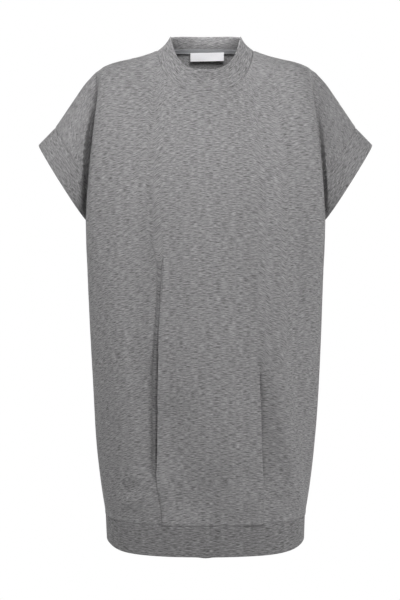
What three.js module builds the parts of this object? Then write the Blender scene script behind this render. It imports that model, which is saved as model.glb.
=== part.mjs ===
import * as THREE from "three";

// A sweatshirt dress, worn with no wearer. Millimetres: +X is the wearer's left, -Y the front and +Z up.
// The origin lies midway between the neck ends of the two shoulder seams.

// ---- Driving dimensions ----

const CLOTH = 1.7; // one layer of brushed sweatshirt knit
const DOUBLED = 3.0; // collar, cuffs and hem band are folded double
const SEAM_GAP = 0.3; // left between two pieces at a seam

const HEM_SEAM_Z = -818.3;
const HEM_BAND = { depth: 53.3, sideLift: 12.5, sidePower: 10, backLift: 4, drawIn: 1.2 };
const UNDERARM_Z = -283;

const NECK_SEAM = { halfWidth: 84.5, front: 76, back: 80, sideZ: -1.6, frontDrop: 73.4, backRise: 5.6 };
const NECK_TOP = { halfWidth: 61.5, front: 60, back: 72, sideZ: 24, frontDrop: 61, backRise: 5.5 };
const NECK_ROUND = 0.4; // how much of the front neck's dip is round, and the rest flat at the middle
const COLLAR_HOLLOW = 2.6; // how far the collar curves in between its seam and its top edge

const SLEEVE_SEAM = { x: 216, z: -210, long: 88, deep: 58 }; // the oval where a sleeve meets its cuff
const SLEEVE_MOUTH = { long: 78, deep: 56 };
const CUFF_DEPTH = 41.3;
const SLEEVE_CROWN = 6; // how far the sleeve bulges between the body and its cuff
const CREASE_DEPTH = 20; // how far the armpit crease stands off the side plane, halfway up
const CREST_PROUD = 11; // how far the body's edge stands proud in front of the sleeve
const OVAL_POWER = 2.2; // how full the cuff's oval is
const CUFF_STATIONS = 28;
const HEM_QUARTER_STATIONS = 11;
const CUFF_UP = new THREE.Vector3(0.532, 0, 0.8467); // along the left cuff seam, towards the shoulder
const CUFF_OUT = new THREE.Vector3(0.8467, 0, -0.532); // along the left sleeve, towards the hand

const TAPE = { width: 9.4, thick: 0.8, endAngle: 76, gap: 0.35 };
const LABEL = { fromX: -27.5, toX: 33.5, gap: 0.6, drop: 14.2, thick: 0.8, stand: 1.6, stations: 8 };

// The body from the hem seam up to the underarm. `crest` is how far forward the panel turns the corner into the
// side wall, `sink` how far the side seam is drawn in behind it, and `turn` where the corner column runs.
const BODY = [
  { z: -818.3, half: 176.2, front: 126, back: 118, crest: 0, sink: 0, turn: 52 },
  { z: -760, half: 184.9, front: 128, back: 122, crest: 3, sink: 0, turn: 54 },
  { z: -690, half: 192.3, front: 131, back: 126, crest: 8, sink: 0, turn: 57 },
  { z: -600, half: 197.6, front: 134, back: 129, crest: 16, sink: 0, turn: 60 },
  { z: -500, half: 201.6, front: 134, back: 128, crest: 30, sink: 0, turn: 64 },
  { z: -430, half: 203.4, front: 132, back: 125, crest: 44, sink: 4, turn: 67 },
  { z: -380, half: 204.6, front: 131, back: 122, crest: 57, sink: 17, turn: 70 },
  { z: -330, half: 205.4, front: 130, back: 119, crest: 70, sink: 39, turn: 74 },
  { z: -283, half: 205.6, front: 128, back: 116, crest: 76, sink: 52, turn: 76 },
];
const BODY_POWER = 2.3; // how square the body's corners are in plan
const LEAST_CREST = 0.5; // the corner never quite reaches the side plane
const WALL_POWER = 1.5; // how sharply the side wall turns in from the body's edge to the side seam
const PLAN_STEPS = { panel: 60, wall: 20 }; // how finely the plan is worked out
const TURN_SHARES = [0.27, 0.52, 0.77, 1]; // columns of the front between its tuck and the corner column
const WALL_SHARES = [1 / 3, 2 / 3, 1]; // and from the corner column to the side seam
const BACK_TURN_SHARES = [0.33, 0.66, 1];
const BACK_WALL_SHARES = [0.5, 1];

// How a column of a panel rises above the underarm. The middle ones lean back evenly to the neck, and the outer
// ones stand up first and then roll over to the shoulder. The front passes from one to the other between two places.
const YOKE = {
  neckX: 35,
  shoulderX: 155,
  backShare: 0.7,
  backX: 80,
  neckRise: 1.05,
  neckFall: 1.8,
  shoulderRise: 1.4,
  middleRoll: 0.9,
  cornerRoll: 0.5,
  inward: 1.4,
};
const CREST_FROM = 0.6; // the share of the way to the corner column at which the body's edge begins to stand proud
const CREASE = { rise: 1.5, fullness: 0.8, inward: 0.8 }; // the course of the armpit crease
const ROOF_POWER = 3; // how late a sleeve's rows rise to meet the shoulder seam

// The shoulder seam from the neck to the cuff, seen from the front.
const SHOULDER = [
  { x: 84.5, z: -1.6 },
  { x: 111, z: -10.3 },
  { x: 137, z: -17.2 },
  { x: 167, z: -25.9 },
  { x: 185.4, z: -34.6 },
  { x: 197, z: -43.6 },
  { x: 212, z: -60.8 },
  { x: 236, z: -95.6 },
  { x: 262.9, z: -135.5 },
];

// Each tuck: where its lip runs, and how far it is pressed shut or stands open. Elsewhere the panel is flat.
const TUCK_LEFT = [
  { z: -818.3, lip: 97.6, shut: 1, open: 0 },
  { z: -780, lip: 100.4, shut: 1, open: 0 },
  { z: -762, lip: 100.8, shut: 0.85, open: 0.15 },
  { z: -738, lip: 99.8, shut: 0.5, open: 0.5 },
  { z: -690, lip: 97.4, shut: 0.2, open: 0.8 },
  { z: -612, lip: 95.6, shut: 0.15, open: 0.85 },
  { z: -575, lip: 94.6, shut: 0.1, open: 0.65 },
  { z: -548, lip: 93.6, shut: 0, open: 0.3 },
  { z: -515, lip: 92, shut: 0, open: 0.06 },
  { z: -430, lip: 88, shut: 0, open: 0 },
  { z: -283, lip: 82, shut: 0, open: 0 },
];
const TUCK_RIGHT = [
  { z: -818.3, lip: 74, shut: 1, open: 0 },
  { z: -780, lip: 77.4, shut: 1, open: 0 },
  { z: -760, lip: 81.2, shut: 0.9, open: 0.1 },
  { z: -740, lip: 84.2, shut: 0.5, open: 0.5 },
  { z: -712, lip: 85.6, shut: 0.1, open: 0.9 },
  { z: -690, lip: 85.8, shut: 0, open: 1 },
  { z: -600, lip: 85, shut: 0, open: 1 },
  { z: -549, lip: 83.6, shut: 0, open: 1 },
  { z: -520, lip: 83, shut: 0, open: 0.76 },
  { z: -490, lip: 82.2, shut: 0, open: 0.48 },
  { z: -440, lip: 78.8, shut: 0, open: 0.3 },
  { z: -380, lip: 75.4, shut: 0, open: 0.22 },
  { z: -330, lip: 73.2, shut: 0, open: 0.1 },
  { z: -283, lip: 71.7, shut: 0, open: 0 },
];

// Across a tuck, from the panel's edge round the fold to the side: steps out from its lip where it is pressed
// shut, stands open on the left or on the right, or is flat, and the depths behind the panel there.
const TUCK_COLUMNS = [
  { name: "edge", shut: -6, shutDeep: -2.6, left: -7, leftDeep: -1.2, right: -6, rightDeep: 0, flat: -6 },
  { name: "lip", shut: 0, shutDeep: -0.5, left: 0, leftDeep: 0.6, right: 0, rightDeep: 1.6, flat: 0 },
  { name: "under", shut: -6, shutDeep: 1.6, left: -1, leftDeep: 13, right: -1, rightDeep: 10, flat: 10 },
  { name: "fold", shut: -19, shutDeep: 2.1, left: 4, leftDeep: 14, right: 4, rightDeep: 20, flat: 20 },
  { name: "return", shut: -12, shutDeep: 2.6, left: 9, leftDeep: 8, right: 9, rightDeep: 10, flat: 30 },
  { name: "beside", shut: 4, shutDeep: 2.6, left: 20, leftDeep: 4.4, right: 13, rightDeep: 3.4, flat: 38 },
  { name: "beyond", shut: 32, shutDeep: 0.4, left: 34, leftDeep: 0, right: 32, rightDeep: 0, flat: 50 },
];
const TUCK_GATHER = 5; // how soon the panel's columns draw together towards an opening tuck
const TUCK_SLIM = 0.3; // how narrow a tuck starts

// The panel between its centre line and a tuck: shares of the way to the tuck's edge, with a depth there if shut.
const BESIDE_TUCK = [
  { share: 0, deep: 0 },
  { share: 0.27, deep: 0 },
  { share: 0.53, deep: 0 },
  { share: 0.78, deep: -0.8 },
];

// Where each upright column of a panel ends: at an angle round the neck seam, or at a place on the shoulder seam.
const FRONT_COLUMNS = [
  { name: "centre", neck: 0 },
  { name: "inner", neck: 13 },
  { name: "near", neck: 26 },
  { name: "middle", neck: 38 },
  { name: "edge", neck: 50 },
  { name: "lip", neck: 56 },
  { name: "under", neck: 65 },
  { name: "fold", neck: 74 },
  { name: "return", neck: 82 },
  { name: "beside", neck: 90 },
  { name: "beyond", shoulder: 103 },
  { name: "outer", shoulder: 127 },
  { name: "wide", shoulder: 148 },
  { name: "corner", shoulder: 164 },
  { name: "turn", shoulder: 178 },
  { name: "wall", shoulder: 184 },
  { name: "deep", shoulder: 189 },
  { name: "seam", shoulder: 193 },
];
const BACK_COLUMNS = [
  { name: "centre", neck: 0, x: 0 },
  { name: "inner", neck: 16, x: 25 },
  { name: "near", neck: 32, x: 49 },
  { name: "middle", neck: 47, x: 71 },
  { name: "blade", neck: 61, x: 90 },
  { name: "wing", neck: 75, x: 106 },
  { name: "neck", neck: 90, x: 122 },
  { name: "outer", shoulder: 116 },
  { name: "wide", shoulder: 146 },
  { name: "turn", shoulder: 178 },
  { name: "wall", shoulder: 186 },
  { name: "seam", shoulder: 193 },
];

const FRONT_HEIGHTS = [
  HEM_SEAM_Z, -796, -772, -749, -734, -716, -690, -655, -615, -575, -535, -495, -455, -415, -380, -350, -320, -300,
  UNDERARM_Z,
];
const BACK_HEIGHTS = [HEM_SEAM_Z, -770, -715, -655, -595, -535, -475, -420, -375, -340, -310, UNDERARM_Z];
const YOKE_STEPS = [0.09, 0.19, 0.31, 0.44, 0.57, 0.7, 0.82, 0.92, 1]; // from the underarm to the shoulder seam
const SLEEVE_STEPS = [0.25, 0.5, 0.75, 1]; // from the crease beside the body to the cuff seam

// The largest soft folds: a ridge (or, below zero, a trough) between two points of a panel.
const FRONT_FOLDS = [
  { fromX: -66, fromZ: -200, toX: -78, toZ: -690, width: 30, height: -13 },
  { fromX: -132, fromZ: -225, toX: -138, toZ: -600, width: 24, height: 6 },
  { fromX: 2, fromZ: -215, toX: 28, toZ: -700, width: 44, height: 5 },
  { fromX: 76, fromZ: -200, toX: 88, toZ: -560, width: 24, height: -6 },
  { fromX: 92, fromZ: -570, toX: 92, toZ: -720, width: 26, height: -3 },
  { fromX: 124, fromZ: -215, toX: 128, toZ: -560, width: 18, height: 5 },
  { fromX: 134, fromZ: -590, toX: 162, toZ: -780, width: 16, height: 6 },
  { fromX: 160, fromZ: -240, toX: 164, toZ: -560, width: 14, height: -5 },
  { fromX: 168, fromZ: -600, toX: 180, toZ: -790, width: 12, height: -5 },
  { fromX: -110, fromZ: -660, toX: -118, toZ: -790, width: 22, height: 5 },
  { fromX: -50, fromZ: -640, toX: -30, toZ: -800, width: 30, height: -9 },
  { fromX: 44, fromZ: -640, toX: 50, toZ: -800, width: 30, height: 5 },
];
const BACK_FOLDS = [
  { fromX: -70, fromZ: -230, toX: -84, toZ: -720, width: 30, height: -6 },
  { fromX: 58, fromZ: -260, toX: 78, toZ: -660, width: 28, height: -6 },
  { fromX: 0, fromZ: -330, toX: -10, toZ: -760, width: 34, height: 5 },
  { fromX: -134, fromZ: -300, toX: -140, toZ: -600, width: 24, height: 5 },
  { fromX: 128, fromZ: -340, toX: 142, toZ: -700, width: 26, height: 5 },
];
const FOLD_FADE = 60; // a fold's ends die away over this length
const FOLD_SIDE = { flatAt: 20, over: 50 }; // folds die away towards the side seams, in depths of the plan

const COLOURS = { body: 0x8c8a8b, band: 0x7a7879, tape: 0x9c9aa0, label: 0xeeeeee };

// ---- Small tools ----

const QUARTER = Math.PI / 2;
const lerp = (a, b, t) => a + (b - a) * t;
const clamp = (v, low, high) => Math.min(Math.max(v, low), high);
const ease = (t) => clamp(t, 0, 1) ** 2 * (3 - 2 * clamp(t, 0, 1));
const arch = (t) => 4 * t * (1 - t); // 0 at both ends and 1 halfway
const radians = (degrees) => (degrees * Math.PI) / 180;
const power = (v, p) => Math.sign(v) * Math.abs(v) ** p;

// A smooth curve through one named column of a table, read against another.
function reader(table, key, name) {
  const at = table.map((row) => row[key]);
  const value = table.map((row) => row[name]);
  const last = at.length - 1;
  const slope = at.map((_, i) => {
    const before = Math.max(i - 1, 0);
    const after = Math.min(i + 1, last);
    return (value[after] - value[before]) / (at[after] - at[before]);
  });
  return (where) => {
    let i = 0;
    while (i < last - 1 && where > at[i + 1]) i += 1;
    const span = at[i + 1] - at[i];
    const t = clamp((where - at[i]) / span, 0, 1);
    const rise = value[i + 1] - value[i];
    const bend = (slope[i] * (1 - t) - slope[i + 1] * t) * span - rise * (1 - 2 * t);
    return value[i] + rise * t + t * (1 - t) * bend;
  };
}

const body = {};
for (const name of ["half", "front", "back", "crest", "sink", "turn"]) body[name] = reader(BODY, "z", name);
const shoulderZ = reader(SHOULDER, "x", "z");
const tuckReaders = (table) => ({
  lip: reader(table, "z", "lip"),
  shut: reader(table, "z", "shut"),
  open: reader(table, "z", "open"),
});
const tucks = { right: tuckReaders(TUCK_RIGHT), left: tuckReaders(TUCK_LEFT) };

// ---- The body's plan at one height ----

// A quarter of the plan from the centre line to the side seam, as close points: x sideways, y away from y = 0.
function quarterPlan(z, depth) {
  const half = body.half(z);
  const crest = Math.max(body.crest(z), LEAST_CREST);
  const sink = body.sink(z);
  const points = [];
  for (let i = 0; i <= PLAN_STEPS.panel; i += 1) {
    const turn = (QUARTER * i) / PLAN_STEPS.panel;
    const x = half * power(Math.sin(turn), 2 / BODY_POWER);
    const y = crest + (depth - crest) * power(Math.cos(turn), 2 / BODY_POWER);
    points.push(new THREE.Vector2(x, y));
  }
  for (let i = 1; i <= PLAN_STEPS.wall; i += 1) {
    const y = crest * (1 - i / PLAN_STEPS.wall);
    const x = half - sink * (1 - (y / crest) ** 2) ** WALL_POWER;
    points.push(new THREE.Vector2(x, y));
  }
  return points;
}

// The length along a plan's points up to each of them.
function lengthsOf(points) {
  const lengths = [0];
  for (let i = 1; i < points.length; i += 1) lengths.push(lengths[i - 1] + points[i].distanceTo(points[i - 1]));
  return lengths;
}

// The point and the outward direction at a length along a plan.
function planAt(points, lengths, length) {
  let i = 0;
  while (i < points.length - 2 && length > lengths[i + 1]) i += 1;
  const t = clamp((length - lengths[i]) / (lengths[i + 1] - lengths[i]), 0, 1);
  const along = points[i + 1].clone().sub(points[i]).normalize();
  return { point: points[i].clone().lerp(points[i + 1], t), out: new THREE.Vector2(-along.y, along.x) };
}

// The length along a plan where it first reaches a distance sideways, or falls back to a depth.
const lengthWhere = (points, lengths, reached) => lengths[points.findIndex(reached)];

function foldHeight(folds, x, z) {
  let height = 0;
  for (const fold of folds) {
    const t = (fold.fromZ - z) / (fold.fromZ - fold.toZ);
    const centre = lerp(fold.fromX, fold.toX, clamp(t, 0, 1));
    const ends = ease((fold.fromZ + FOLD_FADE - z) / FOLD_FADE) * ease((z - fold.toZ + FOLD_FADE) / FOLD_FADE);
    height += fold.height * ends * Math.exp(-(((x - centre) / fold.width) ** 2));
  }
  return height;
}

// A panel's point at a length along the plan, lifted by its folds and set back where the cloth is tucked.
function panelPoint(points, lengths, spot, z, side, face) {
  const { point, out } = planAt(points, lengths, spot.length);
  if (spot.x !== undefined) point.x = spot.x;
  const folds = face < 0 ? FRONT_FOLDS : BACK_FOLDS;
  const strength = ease((point.y - FOLD_SIDE.flatAt) / FOLD_SIDE.over);
  const lift = foldHeight(folds, side * point.x, z) * strength - spot.deep;
  return new THREE.Vector3(side * (point.x + out.x * lift), face * (point.y + out.y * lift), z);
}

// Where the tuck's columns lie at one height, as places sideways with their depths.
function tuckPlaces(z, side) {
  const tuck = side < 0 ? tucks.right : tucks.left;
  const lip = tuck.lip(z);
  const shut = clamp(tuck.shut(z), 0, 1);
  const open = clamp(tuck.open(z), 0, 1);
  const loose = 1 - shut;
  const share = loose > 0 ? open / loose : 0;
  const edge = lip + TUCK_COLUMNS[0].flat;
  const places = BESIDE_TUCK.map((row) => ({ x: row.share * edge, deep: row.deep * shut }));
  for (const column of TUCK_COLUMNS) {
    const [stand, standDeep] = side < 0 ? [column.right, column.rightDeep] : [column.left, column.leftDeep];
    const spread = lerp(column.flat, stand * lerp(TUCK_SLIM, 1, share), Math.min(TUCK_GATHER * share, 1));
    places.push({ x: lip + shut * column.shut + loose * spread, deep: shut * column.shutDeep + open * standDeep });
  }
  return places;
}

// One half of a level row of the front: side is -1 on the wearer's right and 1 on the left.
function frontRow(z, side) {
  const points = quarterPlan(z, body.front(z));
  const lengths = lengthsOf(points);
  const places = tuckPlaces(z, side);
  const spots = places.map(({ x, deep }) => ({ length: lengthWhere(points, lengths, (p) => p.x >= x), x, deep }));
  const beyond = spots[spots.length - 1];
  const turn = lengthWhere(points, lengths, (p) => p.y <= body.turn(z));
  const full = lengths[lengths.length - 1];
  for (const t of TURN_SHARES) spots.push({ length: lerp(beyond.length, turn, t), deep: beyond.deep * (1 - t) });
  for (const t of WALL_SHARES) spots.push({ length: lerp(turn, full, t), deep: 0 });
  return spots.map((spot) => panelPoint(points, lengths, spot, z, side, -1));
}

function backRow(z, side) {
  const points = quarterPlan(z, body.back(z));
  const lengths = lengthsOf(points);
  const turn = lengthWhere(points, lengths, (p) => p.y <= body.turn(z));
  const full = lengths[lengths.length - 1];
  const widen = body.half(z) / body.half(UNDERARM_Z);
  const across = BACK_COLUMNS.filter((column) => column.x !== undefined);
  const along = across.map(({ x }) => lengthWhere(points, lengths, (p) => p.x >= x * widen));
  const last = along[along.length - 1];
  for (const t of BACK_TURN_SHARES) along.push(lerp(last, turn, t));
  for (const t of BACK_WALL_SHARES) along.push(lerp(turn, full, t));
  return along.map((length) => panelPoint(points, lengths, { length, deep: 0 }, z, side, 1));
}

// ---- The neck, shoulder and sleeve ----

// A ring round the neck at an angle from the front (face -1) or from the back (face 1).
function neckRing(ring, angle, face) {
  const across = Math.cos(angle);
  const depth = face < 0 ? ring.front : ring.back;
  const dip = lerp(ease(across), across, NECK_ROUND);
  const rise = face < 0 ? -ring.frontDrop * dip : ring.backRise * ease(across);
  return new THREE.Vector3(ring.halfWidth * Math.sin(angle), face * depth * across, ring.sideZ + rise);
}

// The collar's own direction at an angle round the neck: up from its seam to its top edge, and outwards.
function collarLean(angle, face) {
  const low = neckRing(NECK_SEAM, angle, face);
  const high = neckRing(NECK_TOP, angle, face);
  const up = high.clone().sub(low).normalize();
  const round = new THREE.Vector3(Math.cos(angle), -face * Math.sin(angle), 0);
  const out = up.clone().cross(round).multiplyScalar(face).normalize();
  return { low, up, out, height: high.distanceTo(low) };
}

// The cuff seam's oval on the left sleeve, from the underarm (0) over the front or back to the shoulder (1).
function sleeveOval(step, face, oval) {
  const along = -power(Math.cos(Math.PI * step), 2 / OVAL_POWER) * oval.long;
  const deep = power(Math.sin(Math.PI * step), 2 / OVAL_POWER) * oval.deep;
  const point = new THREE.Vector3(SLEEVE_SEAM.x, face * deep, SLEEVE_SEAM.z);
  return point.addScaledVector(CUFF_UP, along);
}

// The points above the underarm, one row for each yoke step, from a half row at the underarm.
function yokeRows(underarmRow, columns, face, side) {
  const turnIndex = columns.findIndex((column) => column.name === "turn");
  const seamIndex = columns.length - 1;
  const start = underarmRow.map((p) => new THREE.Vector3(side * p.x, p.y, p.z));
  const end = columns.map(({ neck, shoulder }) =>
    neck === undefined
      ? new THREE.Vector3(shoulder, 0, shoulderZ(shoulder))
      : neckRing(NECK_SEAM, radians(neck), face),
  );
  const risingPoint = (i, step) => {
    const outward = start[i].x / start[turnIndex].x;
    const frontShare = ease((end[i].x - YOKE.neckX) / (YOKE.shoulderX - YOKE.neckX));
    const backShare = lerp(YOKE.backShare, 1, ease(end[i].x / YOKE.backX));
    const rolled = face < 0 ? frontShare : backShare;
    const lift = lerp(step ** YOKE.neckRise, Math.sin(QUARTER * step) ** YOKE.shoulderRise, rolled);
    const roll = Math.cos(QUARTER * step) ** lerp(YOKE.middleRoll, YOKE.cornerRoll, outward);
    const fall = lerp(1 - step ** YOKE.neckFall, roll, rolled);
    const proud = CREST_PROUD * Math.sin(Math.PI * step) * ease((outward - CREST_FROM) / (1 - CREST_FROM));
    return new THREE.Vector3(
      lerp(start[i].x, end[i].x, lift ** YOKE.inward),
      lerp(end[i].y, start[i].y, fall) + face * proud,
      lerp(start[i].z, end[i].z, lift),
    );
  };
  const creasePoint = (step) => {
    const lift = Math.sin(QUARTER * step) ** CREASE.rise;
    const deep = face * CREASE_DEPTH * Math.abs(Math.sin(Math.PI * step)) ** CREASE.fullness;
    return new THREE.Vector3(
      lerp(start[seamIndex].x, end[seamIndex].x, lift ** CREASE.inward),
      deep,
      lerp(start[seamIndex].z, end[seamIndex].z, lift),
    );
  };
  const overSeam = sleeveOval(1, face, SLEEVE_SEAM);
  const rowAt = (step) => {
    const row = [];
    for (let i = 0; i <= turnIndex; i += 1) row.push(step === 0 ? start[i] : risingPoint(i, step));
    const crest = row[turnIndex];
    const crease = step === 0 ? start[seamIndex] : creasePoint(step);
    for (let i = turnIndex + 1; i < seamIndex; i += 1) {
      const t = (i - turnIndex) / (seamIndex - turnIndex);
      const straight = start[turnIndex].clone().lerp(start[seamIndex], t);
      const bow = start[i].clone().sub(straight).multiplyScalar(1 - step);
      row.push(crest.clone().lerp(crease, t).add(bow));
    }
    row.push(crease);
    const cuffPoint = sleeveOval(step, face, SLEEVE_SEAM);
    for (const t of SLEEVE_STEPS) {
      const over = end[seamIndex].clone().lerp(overSeam, t);
      const roof = shoulderZ(over.x) - over.z;
      const point = crease.clone().lerp(cuffPoint, t);
      point.y += face * SLEEVE_CROWN * arch(t) * Math.sin(Math.PI * step);
      point.z += roof * step ** ROOF_POWER;
      row.push(point);
    }
    return row.map((p) => new THREE.Vector3(side * p.x, p.y, p.z));
  };
  return { rows: YOKE_STEPS.map(rowAt), underarm: rowAt(0) };
}

// ---- Meshes ----

function meshOf(name, points, faces, colour) {
  const geometry = new THREE.BufferGeometry();
  geometry.setAttribute("position", new THREE.Float32BufferAttribute(points.flatMap((p) => [p.x, p.y, p.z]), 3));
  geometry.setIndex(faces);
  geometry.computeVertexNormals();
  const material = new THREE.MeshStandardMaterial({ color: colour, roughness: 0.95, metalness: 0 });
  const mesh = new THREE.Mesh(geometry, material);
  mesh.name = name;
  return mesh;
}

// A wall of cloth on a grid of outer points, in which null leaves a place out. `keep` holds points to their seams.
function clothWall(name, grid, thick, keep, colour) {
  const points = [];
  const index = grid.map((row) => row.map((p) => (p ? points.push(p.clone()) - 1 : -1)));
  const faces = [];
  for (let j = 0; j + 1 < grid.length; j += 1) {
    for (let i = 0; i + 1 < grid[j].length; i += 1) {
      const [a, b, c, d] = [index[j][i], index[j][i + 1], index[j + 1][i + 1], index[j + 1][i]];
      if (Math.min(a, b, c, d) < 0) continue;
      if (points[a].distanceTo(points[c]) <= points[b].distanceTo(points[d])) faces.push([a, b, c], [a, c, d]);
      else faces.push([a, b, d], [b, c, d]);
    }
  }
  const normals = points.map(() => new THREE.Vector3());
  const edges = new Map();
  for (const face of faces) {
    const [a, b, c] = face.map((k) => points[k]);
    const normal = b.clone().sub(a).cross(c.clone().sub(a)).normalize();
    face.forEach((k, n) => {
      const toNext = points[face[(n + 1) % 3]].clone().sub(points[k]);
      const toLast = points[face[(n + 2) % 3]].clone().sub(points[k]);
      normals[k].addScaledVector(normal, toNext.angleTo(toLast));
      edges.set(k + "," + face[(n + 1) % 3], [k, face[(n + 1) % 3]]);
    });
  }
  const count = points.length;
  for (let k = 0; k < count; k += 1) points.push(points[k].clone().addScaledVector(normals[k].normalize(), -thick));
  points.forEach((point, k) => keep(point, k % count, k >= count));
  const all = [];
  for (const [a, b, c] of faces) all.push(a, b, c, a + count, c + count, b + count);
  for (const [from, to] of edges.values()) {
    if (!edges.has(to + "," + from)) all.push(to, from, from + count, to, from + count, to + count);
  }
  return { mesh: meshOf(name, points, all, colour), points, index, count };
}

// A ring of closed sections, as for a cuff: each section lists the same number of points, outer ones first.
function ringWall(name, sections, colour) {
  const size = sections[0].length;
  const faces = [];
  sections.forEach((_, s) => {
    const next = (s + 1) % sections.length;
    for (let k = 0; k < size; k += 1) {
      const [a, b] = [s * size + k, s * size + ((k + 1) % size)];
      const [c, d] = [next * size + ((k + 1) % size), next * size + k];
      faces.push(a, d, c, a, c, b);
    }
  });
  return meshOf(name, sections.flat(), faces, colour);
}

// ---- The two panels ----

// The whole grid of one panel, from the hem seam to the neck, with its sleeves on the rows above the underarm.
function panelGrid(heights, rowOf, columns, face) {
  const sides = face < 0 ? [-1, 1] : [1, -1];
  const sleeve = SLEEVE_STEPS.length;
  const join = (first, second, blank) => [
    ...Array(blank).fill(null),
    ...first.slice(1).reverse(),
    ...second,
    ...Array(blank).fill(null),
  ];
  const grid = [];
  for (const z of heights.slice(0, -1)) grid.push(join(rowOf(z, sides[0]), rowOf(z, sides[1]), sleeve));
  const halves = sides.map((side) => yokeRows(rowOf(UNDERARM_Z, side), columns, face, side));
  grid.push(join(halves[0].underarm, halves[1].underarm, 0));
  halves[0].rows.forEach((row, k) => grid.push(join(row, halves[1].rows[k], 0)));
  return grid;
}

// Seam edges are held in their seam: the sides at y = 0, the hem and cuffs in their planes, the neck on the collar.
function buildPanel(name, heights, rowOf, columns, face) {
  const grid = panelGrid(heights, rowOf, columns, face);
  const places = [];
  grid.forEach((row, j) =>
    row.forEach((p, i) => {
      if (!p) return;
      const column = columns[Math.abs(i - (row.length - 1) / 2)];
      const cuff = i === 0 || i === row.length - 1;
      const neck = j === grid.length - 1 && column ? column.neck : undefined;
      places.push({ side: Math.sign(p.x) || 1, cuff, neck, hem: j === 0, outer: p });
    }),
  );
  const keep = (point, at, inner) => {
    const { side, cuff, neck, hem, outer } = places[at];
    if (inner && neck !== undefined) {
      const { out } = collarLean(radians(neck), face);
      point.set(outer.x - side * out.x * CLOTH, outer.y - out.y * CLOTH, outer.z - out.z * CLOTH);
    }
    point.y = face * Math.max(face * point.y, SEAM_GAP / 2);
    const past = (side * point.x - SLEEVE_SEAM.x) * CUFF_OUT.x + (point.z - SLEEVE_SEAM.z) * CUFF_OUT.z;
    if (cuff) {
      point.x -= side * CUFF_OUT.x * past;
      point.z -= CUFF_OUT.z * past;
    }
    if (hem) point.z = HEM_SEAM_Z;
  };
  return clothWall(name, grid, CLOTH, keep, COLOURS.body);
}

const frontPanel = buildPanel("front", FRONT_HEIGHTS, frontRow, FRONT_COLUMNS, -1);
const backPanel = buildPanel("back", BACK_HEIGHTS, backRow, BACK_COLUMNS, 1);

// ---- Collar ----

// Angles round the neck that the two panels' columns share with the collar: [angle from front or back, side, face].
function neckStations() {
  const angles = (columns) => columns.filter((column) => column.neck !== undefined).map((column) => column.neck);
  const front = angles(FRONT_COLUMNS);
  const back = angles(BACK_COLUMNS);
  return [
    ...front.map((a) => [a, 1, -1]),
    ...back.slice(0, -1).reverse().map((a) => [a, 1, 1]),
    ...back.slice(1).map((a) => [a, -1, 1]),
    ...front.slice(1, -1).reverse().map((a) => [a, -1, -1]),
  ];
}

function collarPoint([degrees, side, face], share, depth) {
  const { low, up, out, height } = collarLean(radians(degrees), face);
  const point = low.addScaledVector(up, lerp(SEAM_GAP, height, share));
  point.addScaledVector(out, -COLLAR_HOLLOW * arch(share) - depth);
  return new THREE.Vector3(side * point.x, point.y, point.z);
}

// A doubled strip's section from its seam over its folded edge and back: [share of its height, depth inwards].
function foldedSection(outerShares, innerShares) {
  return [
    ...outerShares.map((share) => [share, 0]),
    [1, DOUBLED / 2],
    ...innerShares.map((share) => [share, DOUBLED]).reverse(),
  ];
}

function buildCollar() {
  const shares = [0, 0.35, 0.7, 0.96];
  const outline = foldedSection(shares, shares);
  const section = (station) => outline.map(([share, depth]) => collarPoint(station, share, depth));
  return ringWall("collar", neckStations().map(section), COLOURS.band);
}

// ---- Cuffs ----

function buildCuff(name, side) {
  const outline = foldedSection([0, 0.5, 0.97], [0, 0.5, 0.97]);
  const sections = [];
  for (let s = 0; s < CUFF_STATIONS; s += 1) {
    const turn = (-side * 2 * Math.PI * s) / CUFF_STATIONS;
    const spot = ([share, depth]) => {
      const long = lerp(SLEEVE_SEAM.long, SLEEVE_MOUTH.long, share) - depth;
      const deep = lerp(SLEEVE_SEAM.deep, SLEEVE_MOUTH.deep, share) - depth;
      const point = new THREE.Vector3(SLEEVE_SEAM.x, power(Math.sin(turn), 2 / OVAL_POWER) * deep, SLEEVE_SEAM.z);
      point.addScaledVector(CUFF_UP, power(Math.cos(turn), 2 / OVAL_POWER) * long);
      point.addScaledVector(CUFF_OUT, SEAM_GAP + (CUFF_DEPTH - SEAM_GAP) * share);
      point.x *= side;
      return point;
    };
    sections.push(outline.map(spot));
  }
  return ringWall(name, sections, COLOURS.band);
}

// ---- Hem band ----

function buildHemBand() {
  const outline = foldedSection([0, 0.5, 0.94], [0, 0.5, 0.94]);
  const stations = [];
  for (const [side, face] of [[-1, -1], [-1, 1], [1, 1], [1, -1]]) {
    const points = quarterPlan(HEM_SEAM_Z, face < 0 ? body.front(HEM_SEAM_Z) : body.back(HEM_SEAM_Z));
    const lengths = lengthsOf(points);
    const forward = side * face > 0;
    for (let i = 0; i < HEM_QUARTER_STATIONS; i += 1) {
      const share = forward ? i / HEM_QUARTER_STATIONS : 1 - i / HEM_QUARTER_STATIONS;
      stations.push({ ...planAt(points, lengths, share * lengths[lengths.length - 1]), side, face });
    }
  }
  const half = body.half(HEM_SEAM_Z);
  const sections = stations.map(({ point, out, side, face }) => {
    const sideShare = (point.x / half) ** HEM_BAND.sidePower;
    const back = face > 0 ? HEM_BAND.backLift * (1 - sideShare) : 0;
    const tall = HEM_BAND.depth - HEM_BAND.sideLift * sideShare - back - SEAM_GAP;
    const spot = ([share, depth]) => {
      const inward = depth + HEM_BAND.drawIn * share;
      const x = point.x - out.x * inward;
      const y = point.y - out.y * inward;
      return new THREE.Vector3(side * x, face * y, HEM_SEAM_Z - SEAM_GAP - tall * share);
    };
    return outline.map(spot);
  });
  return ringWall("hem_band", sections, COLOURS.band);
}

// ---- Neck tape and label, inside the back neck ----

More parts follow.
